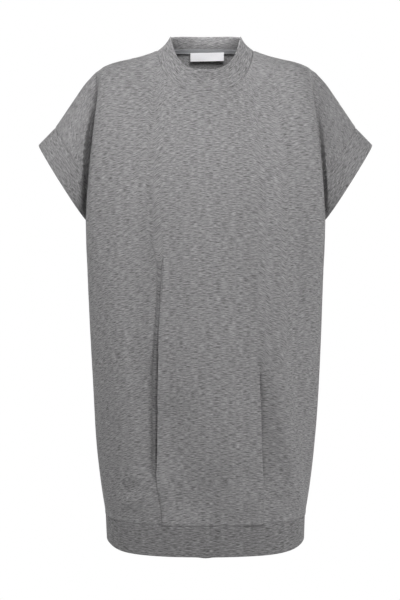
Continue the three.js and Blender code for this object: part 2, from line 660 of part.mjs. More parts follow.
// A flat strip with closed ends, from sections that list their points in order round them.
function stripWall(name, sections, colour) {
  const size = sections[0].length;
  const faces = [];
  for (let s = 0; s + 1 < sections.length; s += 1) {
    for (let k = 0; k < size; k += 1) {
      const [a, b] = [s * size + k, s * size + ((k + 1) % size)];
      faces.push(a, a + size, b + size, a, b + size, b);
    }
  }
  const last = (sections.length - 1) * size;
  const half = size / 2;
  for (let k = 0; k + 1 < half; k += 1) {
    const [a, b, c, d] = [k, k + 1, size - 2 - k, size - 1 - k];
    faces.push(a, b, c, a, c, d);
    faces.push(last + a, last + c, last + b, last + a, last + d, last + c);
  }
  return meshOf(name, sections.flat(), faces, colour);
}

// A point on the inside of the back panel, at an angle round the neck and a length below the collar seam.
function insideBack(degrees, below, inward) {
  const columns = BACK_COLUMNS.filter((column) => column.neck !== undefined);
  const rows = backPanel.index;
  const middle = (rows[rows.length - 1].length - 1) / 2;
  const away = Math.abs(degrees);
  const side = degrees < 0 ? 1 : -1;
  let i = 0;
  while (i < columns.length - 2 && away > columns[i + 1].neck) i += 1;
  const t = (away - columns[i].neck) / (columns[i + 1].neck - columns[i].neck);
  const mixed = (row, shift) => {
    const pick = (column) => backPanel.points[rows[row][middle + side * column] + shift].clone();
    return pick(i).lerp(pick(i + 1), t);
  };
  let row = rows.length - 1;
  let left = below;
  while (mixed(row, backPanel.count).distanceTo(mixed(row - 1, backPanel.count)) < left) {
    left -= mixed(row, backPanel.count).distanceTo(mixed(row - 1, backPanel.count));
    row -= 1;
  }
  const high = mixed(row, backPanel.count);
  const low = mixed(row - 1, backPanel.count);
  const through = high.clone().sub(mixed(row, 0)).normalize();
  return high.lerp(low, left / high.distanceTo(low)).addScaledVector(through, inward);
}

function buildTape() {
  const angles = BACK_COLUMNS.map((column) => column.neck).filter((a) => a <= TAPE.endAngle);
  const all = [...angles.slice(1).reverse().map((a) => -a), ...angles];
  const sections = all.map((degrees) => {
    const side = degrees < 0 ? -1 : 1;
    const station = [Math.abs(degrees), side, 1];
    const raised = TAPE.width / 2 / collarLean(radians(Math.abs(degrees)), 1).height;
    const line = (off) => [
      collarPoint(station, raised, DOUBLED + off),
      collarPoint(station, 0, DOUBLED + off),
      insideBack(degrees, TAPE.width / 2, off),
    ];
    return [...line(TAPE.gap), ...line(TAPE.gap + TAPE.thick).reverse()];
  });
  return stripWall("neck_tape", sections, COLOURS.tape);
}

function buildLabel() {
  const sections = [];
  for (let s = 0; s <= LABEL.stations; s += 1) {
    const x = lerp(LABEL.fromX, LABEL.toX, s / LABEL.stations);
    const degrees = (Math.asin(x / NECK_SEAM.halfWidth) * 180) / Math.PI;
    const line = (off) =>
      [0, 0.5, 1].map((share) =>
        insideBack(degrees, TAPE.width / 2 + LABEL.gap + LABEL.drop * share, TAPE.gap + off + LABEL.stand * share),
      );
    sections.push([...line(0), ...line(LABEL.thick).reverse()]);
  }
  return stripWall("label", sections, COLOURS.label);
}

const group = new THREE.Group();
group.add(
  frontPanel.mesh,
  backPanel.mesh,
  buildCollar(),
  buildCuff("cuff_left", 1),
  buildCuff("cuff_right", -1),
  buildHemBand(),
  buildTape(),
  buildLabel(),
);

export default group;
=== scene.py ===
import math

import bpy
import numpy as np
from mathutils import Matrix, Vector


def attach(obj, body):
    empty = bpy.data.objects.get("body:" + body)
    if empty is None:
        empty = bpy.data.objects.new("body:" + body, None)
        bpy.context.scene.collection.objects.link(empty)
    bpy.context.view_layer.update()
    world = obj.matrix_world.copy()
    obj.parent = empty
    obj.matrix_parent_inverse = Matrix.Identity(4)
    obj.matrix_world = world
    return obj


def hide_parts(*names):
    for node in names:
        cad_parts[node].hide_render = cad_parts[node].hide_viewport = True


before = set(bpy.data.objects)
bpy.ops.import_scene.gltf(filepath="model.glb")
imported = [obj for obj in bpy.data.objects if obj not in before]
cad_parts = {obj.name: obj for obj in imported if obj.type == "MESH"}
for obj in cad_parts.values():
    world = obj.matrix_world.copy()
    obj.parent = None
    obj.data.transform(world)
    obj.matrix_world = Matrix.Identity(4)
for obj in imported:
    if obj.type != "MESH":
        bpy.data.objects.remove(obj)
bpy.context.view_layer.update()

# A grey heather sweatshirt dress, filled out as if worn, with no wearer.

BODY = "root"
MM = 0.001  # the sizes below are in millimetres, as in the part's own source

# ---- Cloth and seams ----

CLOTH = 1.7  # one layer of brushed sweatshirt knit
DOUBLED = 3.0  # collar, cuffs and hem band are folded double
SEAM_GAP = 0.3
GRID = 3.7  # the cloth's mesh has a point about this often across
GRID_UP = 5.6  # and this often upwards
SLEEVE_GRID = 2.2  # and this often along the sleeves
BESIDE_SEAM = (0.5, 1.1, 1.9, 3.0, 4.4, 6.2, 8.6)  # closer points beside a seam, as lengths from it
BESIDE_REACH = 0.8  # they take up at most this share of their gap in the coarse form
BESIDE_CLEAR = 1.25  # and the next point is at least this many times as far from the seam
SEAM_ROLL = {"width": 1.9, "depth": 1.0}  # the cloth turns in at a seam
SEAM_RIDGE = {"centre": 4.6, "width": 2.9, "height": 0.55}  # the seam allowance pressed up behind it
SEAM_STRENGTH = {"hem": 1.3, "side": 0.8, "top": 0.5, "cuff": 0.45}
# The front is drawn in more under the collar, in the middle, and less towards the shoulders.
NECK_PULL = {"middle": 1.7, "from_x": -8, "half_width": 48, "less": 0.42, "reach": 96, "fade": 10}
TOPSTITCH = 2.6  # how far a stitch row lies from its seam
SEAM_NEAR = 60  # points further than this from a seam don't guide its stitches
LEAST_POINTS = 3  # and a row with fewer points than this has no stitch
NECK_REACH = 84.0  # how far to each side the row below the collar runs
TUCK_STITCHES = {"clear": 2, "top": -746, "step": 4.0, "from_lip": 1.6, "proud": 0.1}
TUCK_NEAREST = {"points": 6, "forward": 0.02}  # the row follows these, those further forward first
FAR = 1e3  # stands for a seam that a point isn't near
SHARP = 55  # faces that meet at more than this many degrees keep a sharp edge
PATTERN_APART = {"back": 900, "inside": 1700}  # so that no two parts of the cloth share their fibres
PATTERN_FADE = 30  # the sleeve's pattern settles from the body's over this length

# Coarse and fine streaks as shares of the heather, where the fine ones turn into flecks, and the flecks.
HEATHER = {"coarse": 0.58, "fine": 0.42, "fleck_from": 0.6, "fleck_to": 0.74}
FLECK = {"share": 0.3, "pale": 1.5}
RELIEF = {"loops": 0.7, "fuzz": 0.3, "streaks": 0.25}
# A knitted loop's lean and swell, and painted shade: how much darker the cloth's colour is painted in the
# valleys between loops.
LOOPS = {"lean": 1.3, "swell": 0.32, "base": 0.68, "shade": 0.22, "painted_valley_shade": 0.86}
TWILL = {"bone": 2.35, "rib": 0.9}  # the height of the herringbone's zigzag, and one rib across
SATIN = {"rib": 0.45, "threads_across": 700.0, "threads_up": 4000.0}  # a rib, and threads to the metre
THREAD_SPREAD = 22  # how far a thread's tone swings to each side

GRAIN_DROOP = {"left": 0.00045, "right": 0.0008}  # the knit's rows hang lower towards the sides

HEM_SEAM_Z = -818.3
UNDERARM_Z = -283.0
HEM_BAND = {"depth": 53.3, "side_lift": 12.5, "side_power": 10, "back_lift": 4.0, "draw_in": 1.2}
NECK_SEAM = {
    "half_width": 84.5, "front": 76.0, "back": 80.0,
    "side_z": -1.6, "front_drop": 73.4, "back_rise": 5.6,
}
NECK_TOP = {
    "half_width": 61.5, "front": 60.0, "back": 72.0,
    "side_z": 24.0, "front_drop": 61.0, "back_rise": 5.5,
}
NECK_ROUND = 0.4  # how much of the front neck's dip is round, the rest being eased
COLLAR_HEIGHT = 30.0  # the height its section is drawn for, before it is fitted to the neck all round
COLLAR_HOLLOW = 2.6
COLLAR_PROUD = {"height": 2.8, "degrees": 44.0}  # the collar's base stands over its seam at the front

SLEEVE_SEAM = {"x": 216.0, "z": -210.0, "long": 88.0, "deep": 58.0}
SLEEVE_MOUTH = {"long": 78.0, "deep": 56.0}
CUFF_DEPTH = 41.3
SLEEVE_CROWN = 6.0
CREASE_DEPTH = 20.0
CREST_PROUD = 11.0
OVAL_POWER = 2.2
BODY_POWER = 2.3
LEAST_CREST = 0.5  # the body's corner never quite reaches the side plane
WALL_POWER = 1.5  # how sharply the side wall turns in from the body's edge to the side seam
PLAN_STEPS = {"corner": 60, "wall": 20}
# The left sleeve's own ways: up its seam towards the shoulder, and out along the sleeve.
CUFF_UP = np.array([0.532, 0.0, 0.8467])
CUFF_OUT = np.array([0.8467, 0.0, -0.532])

TAPE = {"width": 9.4, "thick": 0.8, "end_angle": 76.0, "gap": 0.35, "stations": 77, "rows": 10}
LABEL = {"from_x": -28.5, "to_x": 34.5, "from_seam": 2.2, "drop": 15.2, "thick": 0.5, "gap": 0.15}
LABEL_POINTS = {"across": 41, "down": 9}
# The label stands off at its foot, tilts, and ripples across.
LABEL_HANG = {"stand": 0.8, "tilt": 0.02, "ripple": 0.5, "ripple_length": 9}


def table(names, *rows):
    """A small table as named columns."""
    return {name: np.array([row[i] for row in rows], float) for i, name in enumerate(names.split())}


def entries(names, *rows):
    """A small table as a list of its rows, each with named values."""
    return [dict(zip(names.split(), row)) for row in rows]


BODY_PLAN = table(
    "z half front back crest sink turn",
    (-818.3, 176.2, 126, 118, 0, 0, 52),
    (-760, 184.9, 128, 122, 3, 0, 54),
    (-690, 192.3, 131, 126, 8, 0, 57),
    (-600, 197.6, 134, 129, 16, 0, 60),
    (-500, 201.6, 134, 128, 30, 0, 64),
    (-430, 203.4, 132, 125, 44, 4, 67),
    (-380, 204.6, 131, 122, 57, 17, 70),
    (-330, 205.4, 130, 119, 70, 39, 74),
    (-283, 205.6, 128, 116, 76, 52, 76),
)
SHOULDER = table(
    "x z",
    (84.5, -1.6), (111, -10.3), (137, -17.2), (167, -25.9), (185.4, -34.6), (197, -43.6),
    (212, -60.8), (236, -95.6), (262.9, -135.5),
)
TUCK_LEFT = table(
    "z lip shut open",
    (-818.3, 97.6, 1, 0), (-780, 100.4, 1, 0), (-762, 100.8, 0.75, 0.25), (-738, 99.8, 0.35, 0.65),
    (-690, 97.4, 0.2, 0.8), (-612, 95.6, 0.15, 0.85), (-575, 94.6, 0.1, 0.6), (-548, 93.6, 0, 0.15),
    (-515, 92, 0, 0.03), (-430, 88, 0, 0), (-283, 82, 0, 0),
)
TUCK_RIGHT = table(
    "z lip shut open",
    (-818.3, 74, 1, 0), (-780, 77.4, 1, 0), (-760, 81.2, 0.9, 0.1), (-740, 84.2, 0.5, 0.5),
    (-712, 85.6, 0.1, 0.9), (-690, 85.8, 0, 1), (-600, 85, 0, 1), (-549, 83.6, 0, 1),
    (-520, 83, 0, 0.76), (-490, 82.2, 0, 0.48), (-440, 78.8, 0, 0.3), (-380, 75.4, 0, 0.22),
    (-330, 73.2, 0, 0.1), (-283, 71.7, 0, 0),
)
# Across a tuck: steps out from its lip and depths behind it, where it is pressed shut or stands open.
TUCK_SHUT = table("out deep", (-6, -2.6), (0, -0.5), (-6, 1.6), (-19, 2.1), (-12, 2.6), (4, 2.6), (32, 0.4))
TUCK_OPEN = {
    1: table("out deep", (-7, -1.2), (0, 0.6), (-1, 13), (4, 14), (9, 8), (20, 4.4), (34, 0)),
    -1: table("out deep", (-6, 0), (0, 1.6), (-1, 13), (4, 19), (10, 17), (13.2, 3.4), (32, 0)),
}
TUCK_FLAT = np.array((-6, 0, 10, 20, 30, 38, 50))  # the same steps out where the cloth is flat
BEFORE_LIP = 6  # a tuck begins this far before its lip
# Shares of the way from the middle to a tuck, and depths where the tuck is shut.
BESIDE_TUCK = ((0, 0), (0.27, 0), (0.53, 0), (0.78, -0.8))
GATHER = 5.0  # how soon the cloth's upright lines draw together towards an opening tuck
SLIM = 0.3  # how narrow a tuck starts
# Where each upright column of a panel ends: an angle round the neck seam, then places on the shoulder seam.
FRONT_NECK = (0, 13, 26, 38, 50, 56, 65, 74, 82, 90)
FRONT_SHOULDER = (103, 127, 148, 164, 178, 184, 189, 193)
FRONT_TURN = 14
BACK_NECK = (0, 16, 32, 47, 61, 75, 90)
BACK_X = (0, 25, 49, 71, 90, 106, 122)
BACK_SHOULDER = (116, 146, 178, 186, 193)
BACK_TURN = 9
# Shares of the way from there to where the body turns, and on to the side seam.
FRONT_TURN_SHARES, BACK_TURN_SHARES = (0.27, 0.52, 0.77, 1), (0.33, 0.66, 1)
FRONT_WALL_SHARES, BACK_WALL_SHARES = (1 / 3, 2 / 3, 1), (0.5, 1)
SLEEVE_STEPS = (0.25, 0.5, 0.75, 1.0)
ROWS = {"below_underarm": 49, "above": 27}  # rows of the coarse form

# How the yoke rises from the underarm to the shoulder seam: how far from the centre line its rule changes
# from that of the chest to that of the sleeve, and the powers of its rise, its reach inwards and its fall.
YOKE = {"from_x": 35, "over": 120, "back_share": 0.7, "back_over": 80}
YOKE_RISE = {"chest": 1.05, "sleeve": 1.4, "inward": 1.4}
YOKE_FALL = {"chest": 1.8, "middle": 0.9, "edge": 0.5}
CREST_FROM = 0.6  # the share of the way to the corner at which the body's edge begins to stand proud
CREASE = {"rise": 1.5, "inward": 0.8, "depth_power": 0.8}
ROOF_POWER = 3  # how late a sleeve's rows rise to meet the shoulder seam
# Where the panel is evened out once it is drawn: the yoke along its rows, the underarm along its columns.
YOKE_EVEN = {"clear": 2, "over": 30, "to_x": 150, "fade": 40, "rounds": 160}
UNDERARM_EVEN = {"reach": 110, "to_x": 170, "fade": 40, "rounds": 120}

# The body's edge in front of the armpit, and how wide the sleeve and cuff fold back beside it.
BODY_EDGE = table(
    "z x wide",
    (-330, 206, 8), (-290, 205.6, 8.6), (-229, 202.2, 9.3), (-189, 199.2, 9.6), (-142, 195.6, 8),
    (-99, 189.6, 4.5), (-75, 187, 2.5), (-45, 183, 0),
)
FOLD_EDGE = 2.6  # the sleeve turns back over this width
FOLD_FLOOR = 26.0  # how far off the side plane the fold's floor lies
FOLD_WIDE = 3  # a fold narrower than this is shallower too
ARMHOLE_SHARE = {-1: 1.0, 1: 0.6}  # how wide the fold is on each side

# Soft folds that are in the part's solids too: a ridge, or below zero a trough.
FOLDS = "from_x from_z to_x to_z width height"
FRONT_FOLDS = entries(
    FOLDS,
    (-66, -200, -78, -690, 30, -13), (-132, -225, -138, -600, 24, 6), (2, -215, 28, -700, 44, 5),
    (76, -200, 88, -560, 24, -6), (92, -570, 92, -720, 26, -3), (124, -215, 128, -560, 18, 5),
    (134, -590, 162, -780, 16, 6), (160, -240, 164, -560, 14, -5), (168, -600, 180, -790, 12, -5),
    (-110, -660, -118, -790, 22, 5), (-50, -640, -30, -800, 30, -9), (44, -640, 50, -800, 30, 5),
)
BACK_FOLDS = entries(
    FOLDS,
    (-70, -230, -84, -720, 30, -6), (58, -260, 78, -660, 28, -6), (0, -330, -10, -760, 34, 5),
    (-134, -300, -140, -600, 24, 5), (128, -340, 142, -700, 26, 5),
)
FOLD_FADE = 60.0  # a fold's ends die away over this length
FOLD_SIDE = {"from_y": 20, "over": 50}  # and it dies away round the side
HEM_FADE = 44.0  # the folds flatten out over this height above the hem seam, where the band holds the cloth

# Finer creases, seen from the front or the back: both ends, a sideways bow, a width towards -x and one
# towards +x, a height (below zero a trough) and where along it the crease is strongest.
CREASES = "from_x from_z to_x to_z bow low_side high_side height peak"
FRONT_CREASES = entries(
    CREASES,
    # broad swells of the cloth between the tucks and the sides
    (-74, -185, -82, -500, 0, 26, 8, -3.0, 0.6),
    (119, -205, 127, -560, -2, 16, 5, 4.2, 0.6),
    (126, -550, 165, -790, -7, 15, 5, 4.8, 0.5),
    (142, -440, 166, -760, -4, 7, 13, -4.2, 0.5),
    (-98, -330, -98, -700, 0, 12, 8, -3.4, 0.5),
    (-76, -620, -72, -816, 0, 3, 10, 2.0, 0.6),
    # sharp lines that run up from the tucks
    (96, -575, 98, -520, 0, 6, 6, 1.2, 0.4),
    (44, -205, 64, -560, -8, 9, 9, -1.4, 0.35),
    (-30, -215, -42, -420, 6, 16, 16, 1.5, 0.4),
    (86, -44, 123, -135, 8, 8, 8, -1.8, 0.45),
    # short ones at the feet of the tucks and along the hem
    (-150, -803, -97, -762, 6, 8, 8, 3.0, 0.5),
    (-156, -776, -104, -748, 5, 9, 9, -3.4, 0.45),
    (-148, -734, -96, -722, -5, 13, 13, 2.6, 0.55),
    (-66, -742, -44, -806, 3, 10, 10, -2.0, 0.5),
    (52, -690, 90, -752, -6, 15, 15, -3.4, 0.75),
    (100, -766, 134, -786, 3, 7, 7, -2.6, 0.35),
    (102, -786, 140, -799, 3, 6, 6, 2.0, 0.4),
    (104, -812, 138, -806, 2, 6, 6, -2.4, 0.35),
    (-178, -690, -168, -806, 3, 6, 6, 1.8, 0.5),
    (6, -560, 14, -700, 6, 22, 22, -1.4, 0.5),
    (-12, -640, -6, -800, -5, 16, 16, 1.4, 0.4),
    (-134, -300, -142, -520, 5, 12, 12, -2.0, 0.5),
    (-160, -330, -150, -610, 6, 14, 14, 2.4, 0.4),
    (-126, -560, -118, -700, -4, 12, 12, -2.4, 0.5),
    (-10, -110, -6, -230, 5, 30, 30, 1.0, 0.5),
    (-62, -60, -92, -170, 6, 15, 15, -1.5, 0.4),
    # sleeves
    (224, -92, 232, -196, 3, 12, 12, -5.0, 0.5),
    (214, -84, 222, -200, 4, 9, 9, 2.2, 0.6),
    (-226, -128, -212, -190, 4, 10, 10, -3.0, 0.5),
    (-236, -140, -224, -215, 4, 9, 9, 2.0, 0.5),
    (-206, -60, -214, -120, 4, 10, 10, -2.0, 0.5),
)
BACK_CREASES = entries(
    CREASES,
    (-66, -120, -96, -420, 8, 12, 12, -2.2, 0.5),
    (74, -100, 98, -380, -8, 13, 13, -2.0, 0.4),
    (0, -150, -6, -380, 5, 30, 30, 1.6, 0.5),
    (-128, -300, -150, -640, 6, 10, 10, -2.4, 0.6),
    (120, -280, 152, -600, -8, 10, 10, -2.6, 0.4),
    (-34, -420, -44, -700, 6, 14, 14, -2.0, 0.5),
    (30, -450, 44, -780, -5, 13, 13, -2.2, 0.6),
    (-96, -560, -72, -790, 5, 12, 12, 2.0, 0.5),
    (98, -600, 84, -800, -4, 11, 11, 1.9, 0.6),
    (-152, -640, -164, -800, 3, 9, 9, 2.0, 0.5),
    (150, -660, 162, -806, -3, 9, 9, -2.0, 0.5),
    (-226, -96, -234, -190, 3, 10, 10, -3.4, 0.45),
    (230, -104, 222, -200, 3, 10, 10, -3.0, 0.5),
    (-60, -30, -118, -120, 8, 9, 9, -1.4, 0.4),
    (64, -28, 112, -126, -8, 9, 9, -1.6, 0.5),
    (8, -770, 30, -806, 3, 9, 9, -1.6, 0.4),
    (-60, -775, -42, -808, 3, 8, 8, 1.5, 0.5),
    (100, -772, 120, -806, 3, 8, 8, -1.6, 0.5),
)
CREASE_FACING = {"least": 0.05, "over": 0.45}  # creases show only where the cloth faces the way they are seen
# Creases on the two sides, seen along x: y in place of x.
SIDE_CREASES = entries(
    "side " + CREASES,
    (1, -30, -330, -12, -560, 5, 13, 13, -3.0, 0.4),
    (1, 26, -360, 18, -690, -6, 14, 14, -2.8, 0.5),
    (1, -58, -420, -44, -780, 5, 12, 12, 2.4, 0.6),
    (1, 50, -560, 38, -806, 4, 11, 11, 2.0, 0.5),
    (-1, 22, -320, 8, -590, -5, 13, 13, -3.0, 0.5),
    (-1, -34, -380, -26, -700, 6, 13, 13, -2.6, 0.4),
    (-1, 56, -450, 46, -770, 5, 12, 12, 2.2, 0.6),
    (-1, -56, -600, -40, -806, 4, 10, 10, 2.2, 0.5),
)
SIDE_FACING = {"least": 0.3, "over": 0.4, "below_underarm": 10, "fade": 60}

# Small swells of the doubled bands, at turns round them or lengths along them.
COLLAR_CREASES = entries(
    "degrees width share tall height",
    (0, 17, 0.6, 0.28, -9.0), (-22, 9, 0.55, 0.3, 0.7), (30, 11, 0.5, 0.35, -0.8), (-48, 12, 0.45, 0.4, -0.9),
    (58, 9, 0.6, 0.3, 0.6), (150, 15, 0.6, 0.3, -0.8), (-160, 12, 0.5, 0.4, 0.7), (-112, 11, 0.5, 0.4, -0.7),
    (104, 12, 0.5, 0.4, -0.7),
)
CUFF_CREASES = entries(
    "place width height",
    (20, 14, 0.9), (58, 10, -1.0), (95, 16, 1.0), (140, 11, -1.1), (176, 14, 0.8), (216, 12, -1.0),
    (250, 15, 1.0), (300, 12, -0.9), (336, 10, 0.7),
)
BAND_CREASES = entries(
    "place width height",
    (-470, 14, 0.8), (-418, 11, -0.9), (-366, 16, 0.8), (-300, 12, -0.9), (-246, 13, 0.9), (-196, 9, -1.0),
    (-150, 14, 1.0), (-104, 8, -0.9), (-62, 13, 0.9), (-18, 10, -0.6), (24, 12, 0.8), (70, 9, -0.9),
    (112, 8, 0.8), (148, 12, -1.0), (196, 13, 0.9), (252, 11, -0.8), (306, 15, 0.9), (352, 12, -0.8),
    (408, 14, 0.9), (456, 10, -0.8),
)
CUFF_SWELL = (0.35, 0.85)  # how strong they are at the cuff's seam and at its edge
BAND_SWELL = (1.15, 0.35)
CENTRE_POINT = {"half_width": 9.0, "drop": 1.6}  # the band dips at its seam at the centre front
# A doubled band's outside rolls in at its seam: heights above the seam, and shares of the roll there.
BAND_ROLL = ((0.0, 1), (0.6, 0.45), (1.4, 0.12), (2.6, 0), (4.4, 0), (7.0, 0))
BAND_EDGE = {"roll": 0.9, "tuck_in": 2.4, "outside_in": 0.9, "inside_out": 0.4, "fold_steps": 6}
STATIONS = {"collar": 2.0, "cuff": 1.8, "band": 3.6}  # degrees apart, and millimetres for the band

# ---- Small tools ----

QUARTER = math.pi / 2


def lerp(a, b, t):
    return a + (b - a) * t


def ease(t):
    t = np.clip(t, 0.0, 1.0)
    return t * t * (3 - 2 * t)


def power(value, exponent):
    return np.sign(value) * np.abs(value) ** exponent


def unit(vector):
    return vector / np.linalg.norm(vector)


def bump(away):
    """A rounded swell: 1 at its middle, dying away to each side."""
    return math.exp(-(away**2))


def apart(a, b):
    """How many degrees one turn lies from another, the short way round."""
    return (a - b + 180) % 360 - 180


def run(points, axis):
    """The length along a grid's lines up to each point."""
    steps = np.linalg.norm(np.diff(points, axis=axis), axis=2)
    return np.insert(np.cumsum(steps, axis=axis), 0, 0, axis=axis)


def line_run(points):
    """The length along one line up to each point."""
    return run(points[None], 1)[0]


def turned(grid):
    """A grid of points with its rows and columns changed over."""
    return grid.transpose(1, 0, 2)


def reader(rows, at, name):
    """A smooth curve through one named column of a table, read against another."""
    x, y = rows[at], rows[name]
    last = len(x) - 1
    before, after = np.maximum(np.arange(last + 1) - 1, 0), np.minimum(np.arange(last + 1) + 1, last)
    slope = (y[after] - y[before]) / (x[after] - x[before])

    def read(where):
        i = min(max(int(np.searchsorted(x, where, side="left")) - 1, 0), last - 1)
        span = x[i + 1] - x[i]
        t = min(max((where - x[i]) / span, 0.0), 1.0)
        rise = y[i + 1] - y[i]
        bend = (slope[i] * (1 - t) - slope[i + 1] * t) * span - rise * (1 - 2 * t)
        return float(y[i] + rise * t + t * (1 - t) * bend)

    return read


plan = {name: reader(BODY_PLAN, "z", name) for name in ("half", "front", "back", "crest", "sink", "turn")}
shoulder_z = reader(SHOULDER, "x", "z")
tucks = {
    side: {name: reader(rows, "z", name) for name in ("lip", "shut", "open")}
    for side, rows in ((-1, TUCK_RIGHT), (1, TUCK_LEFT))
}

# ---- The garment's form, by the same rules as the part's solids ----


def quarter_plan(z, face):
    """A quarter of the section from the centre line to the side seam, and the length up to each point."""
    half, crest, sink = plan["half"](z), max(plan["crest"](z), LEAST_CREST), plan["sink"](z)
    depth = plan["front" if face < 0 else "back"](z)
    turn = np.linspace(0, QUARTER, PLAN_STEPS["corner"] + 1)
    corner_x = half * power(np.sin(turn), 2 / BODY_POWER)
    corner_y = crest + (depth - crest) * power(np.cos(turn), 2 / BODY_POWER)
    wall_y = crest * (1 - np.arange(1, PLAN_STEPS["wall"] + 1) / PLAN_STEPS["wall"])
    wall_x = half - sink * (1 - (wall_y / crest) ** 2) ** WALL_POWER
    points = np.stack([np.append(corner_x, wall_x), np.append(corner_y, wall_y)], axis=1)
    return points, line_run(points)


def plan_at(points, lengths, length):
    """The point of a section at a length along it, and the way out from it there."""
    i = int(np.clip(np.searchsorted(lengths, length, side="left") - 1, 0, len(points) - 2))
    t = np.clip((length - lengths[i]) / (lengths[i + 1] - lengths[i]), 0, 1)
    along = unit(points[i + 1] - points[i])
    return lerp(points[i], points[i + 1], t), np.array([-along[1], along[0]])


def length_where(lengths, reached):
    """The length along a section where a test first comes true."""
    return lengths[int(np.argmax(reached))]


def fold_height(folds, x, z):
    """How far the soft folds stand out at a place."""
    height = 0.0
    for fold in folds:
        t = (fold["from_z"] - z) / (fold["from_z"] - fold["to_z"])
        centre = lerp(fold["from_x"], fold["to_x"], min(max(t, 0), 1))
        ends = ease((fold["from_z"] + FOLD_FADE - z) / FOLD_FADE)
        ends *= ease((z - fold["to_z"] + FOLD_FADE) / FOLD_FADE)
        height += fold["height"] * ends * bump((x - centre) / fold["width"])
    return height * ease((z - HEM_SEAM_Z) / HEM_FADE)


def level_row(section, spots, folds, z, side, face):
    """One half of a level row through spots: each a length along the section, an x to hold, and a depth."""
    row = []
    for length, x, depth in spots:
        point, out = plan_at(*section, length)
        if x is not None:
            point[0] = x
        round_side = ease((point[1] - FOLD_SIDE["from_y"]) / FOLD_SIDE["over"])
        point = point + out * (fold_height(folds, side * point[0], z) * round_side - depth)
        row.append((side * point[0], face * point[1], z))
    return np.array(row)


def front_row(z, side):
    """One half of a level row of the front; side is -1 on the wearer's right and 1 on the left."""
    section = points, lengths = quarter_plan(z, -1)
    lip, shut, opened = (tucks[side][name](z) for name in ("lip", "shut", "open"))
    shut, opened = min(max(shut, 0), 1), min(max(opened, 0), 1)
    loose = max(1 - shut, 1e-6)
    stands = TUCK_OPEN[side]
    spread = lerp(TUCK_FLAT, stands["out"] * lerp(SLIM, 1, opened / loose), min(GATHER * opened / loose, 1))
    out = lip + shut * TUCK_SHUT["out"] + loose * spread
    deep = shut * TUCK_SHUT["deep"] + opened * stands["deep"]
    places = [(share * (lip - BEFORE_LIP), depth * shut) for share, depth in BESIDE_TUCK]
    places += list(zip(out, deep))
    spots = [(length_where(lengths, points[:, 0] >= x), x, depth) for x, depth in places]
    beyond, _, beyond_depth = spots[-1]
    turn = length_where(lengths, points[:, 1] <= plan["turn"](z))
    spots += [(lerp(beyond, turn, t), None, beyond_depth * (1 - t)) for t in FRONT_TURN_SHARES]
    spots += [(lerp(turn, lengths[-1], t), None, 0) for t in FRONT_WALL_SHARES]
    return level_row(section, spots, FRONT_FOLDS, z, side, -1)


def back_row(z, side):
    section = points, lengths = quarter_plan(z, 1)
    turn = length_where(lengths, points[:, 1] <= plan["turn"](z))
    widen = plan["half"](z) / plan["half"](UNDERARM_Z)
    spots = [length_where(lengths, points[:, 0] >= x * widen) for x in BACK_X]
    last = spots[-1]
    spots += [lerp(last, turn, t) for t in BACK_TURN_SHARES]
    spots += [lerp(turn, lengths[-1], t) for t in BACK_WALL_SHARES]
    return level_row(section, [(length, None, 0) for length in spots], BACK_FOLDS, z, side, 1)


def neck_ring(ring, angle, face):
    """A point round the neck, at an angle from the front (face -1) or from the back (face 1)."""
    across = math.cos(angle)
    depth = ring["front"] if face < 0 else ring["back"]
    if face < 0:
        rise = -ring["front_drop"] * lerp(ease(across), across, NECK_ROUND)
    else:
        rise = ring["back_rise"] * ease(across)
    return np.array([ring["half_width"] * math.sin(angle), face * depth * across, ring["side_z"] + rise])


def collar_lean(angle, face):
    """The collar's seam point at an angle, its direction up and outwards, and its height."""
    low, high = neck_ring(NECK_SEAM, angle, face), neck_ring(NECK_TOP, angle, face)
    up = unit(high - low)
    out = unit(np.cross(up, np.array([math.cos(angle), -face * math.sin(angle), 0])) * face)
    return low, up, out, float(np.linalg.norm(high - low))


def sleeve_oval(step, face):
    """The cuff seam from the underarm (0) over the front or back to the shoulder (1), on the left sleeve."""
    along = -power(math.cos(math.pi * step), 2 / OVAL_POWER) * SLEEVE_SEAM["long"]
    deep = power(math.sin(math.pi * step), 2 / OVAL_POWER) * SLEEVE_SEAM["deep"]
    return np.array([SLEEVE_SEAM["x"], face * deep, SLEEVE_SEAM["z"]]) + CUFF_UP * along


def chest_row(start, end, step, outward, face):
    """A row of the chest or back at a step of the way from the underarm to the neck and shoulder seams."""
    if face < 0:
        share = ease((end[:, 0] - YOKE["from_x"]) / YOKE["over"])
    else:
        share = lerp(YOKE["back_share"], 1, ease(end[:, 0] / YOKE["back_over"]))
    lift = lerp(step ** YOKE_RISE["chest"], math.sin(QUARTER * step) ** YOKE_RISE["sleeve"], share)
    round_fall = max(math.cos(QUARTER * step), 0) ** lerp(YOKE_FALL["middle"], YOKE_FALL["edge"], outward)
    fall = lerp(1 - step ** YOKE_FALL["chest"], round_fall, share)
    proud = CREST_PROUD * math.sin(math.pi * step) * ease((outward - CREST_FROM) / (1 - CREST_FROM))
    x = lerp(start[:, 0], end[:, 0], lift ** YOKE_RISE["inward"])
    y = lerp(end[:, 1], start[:, 1], fall) + face * proud
    return np.stack([x, y, lerp(start[:, 2], end[:, 2], lift)], axis=1)


def crease_spot(start, end, step, face):
    """A point of the armpit crease at a step of the way from the underarm to the shoulder."""
    lift = math.sin(QUARTER * step) ** CREASE["rise"]
    y = face * CREASE_DEPTH * abs(math.sin(math.pi * step)) ** CREASE["depth_power"]
    return np.array([lerp(start[0], end[0], lift ** CREASE["inward"]), y, lerp(start[2], end[2], lift)])


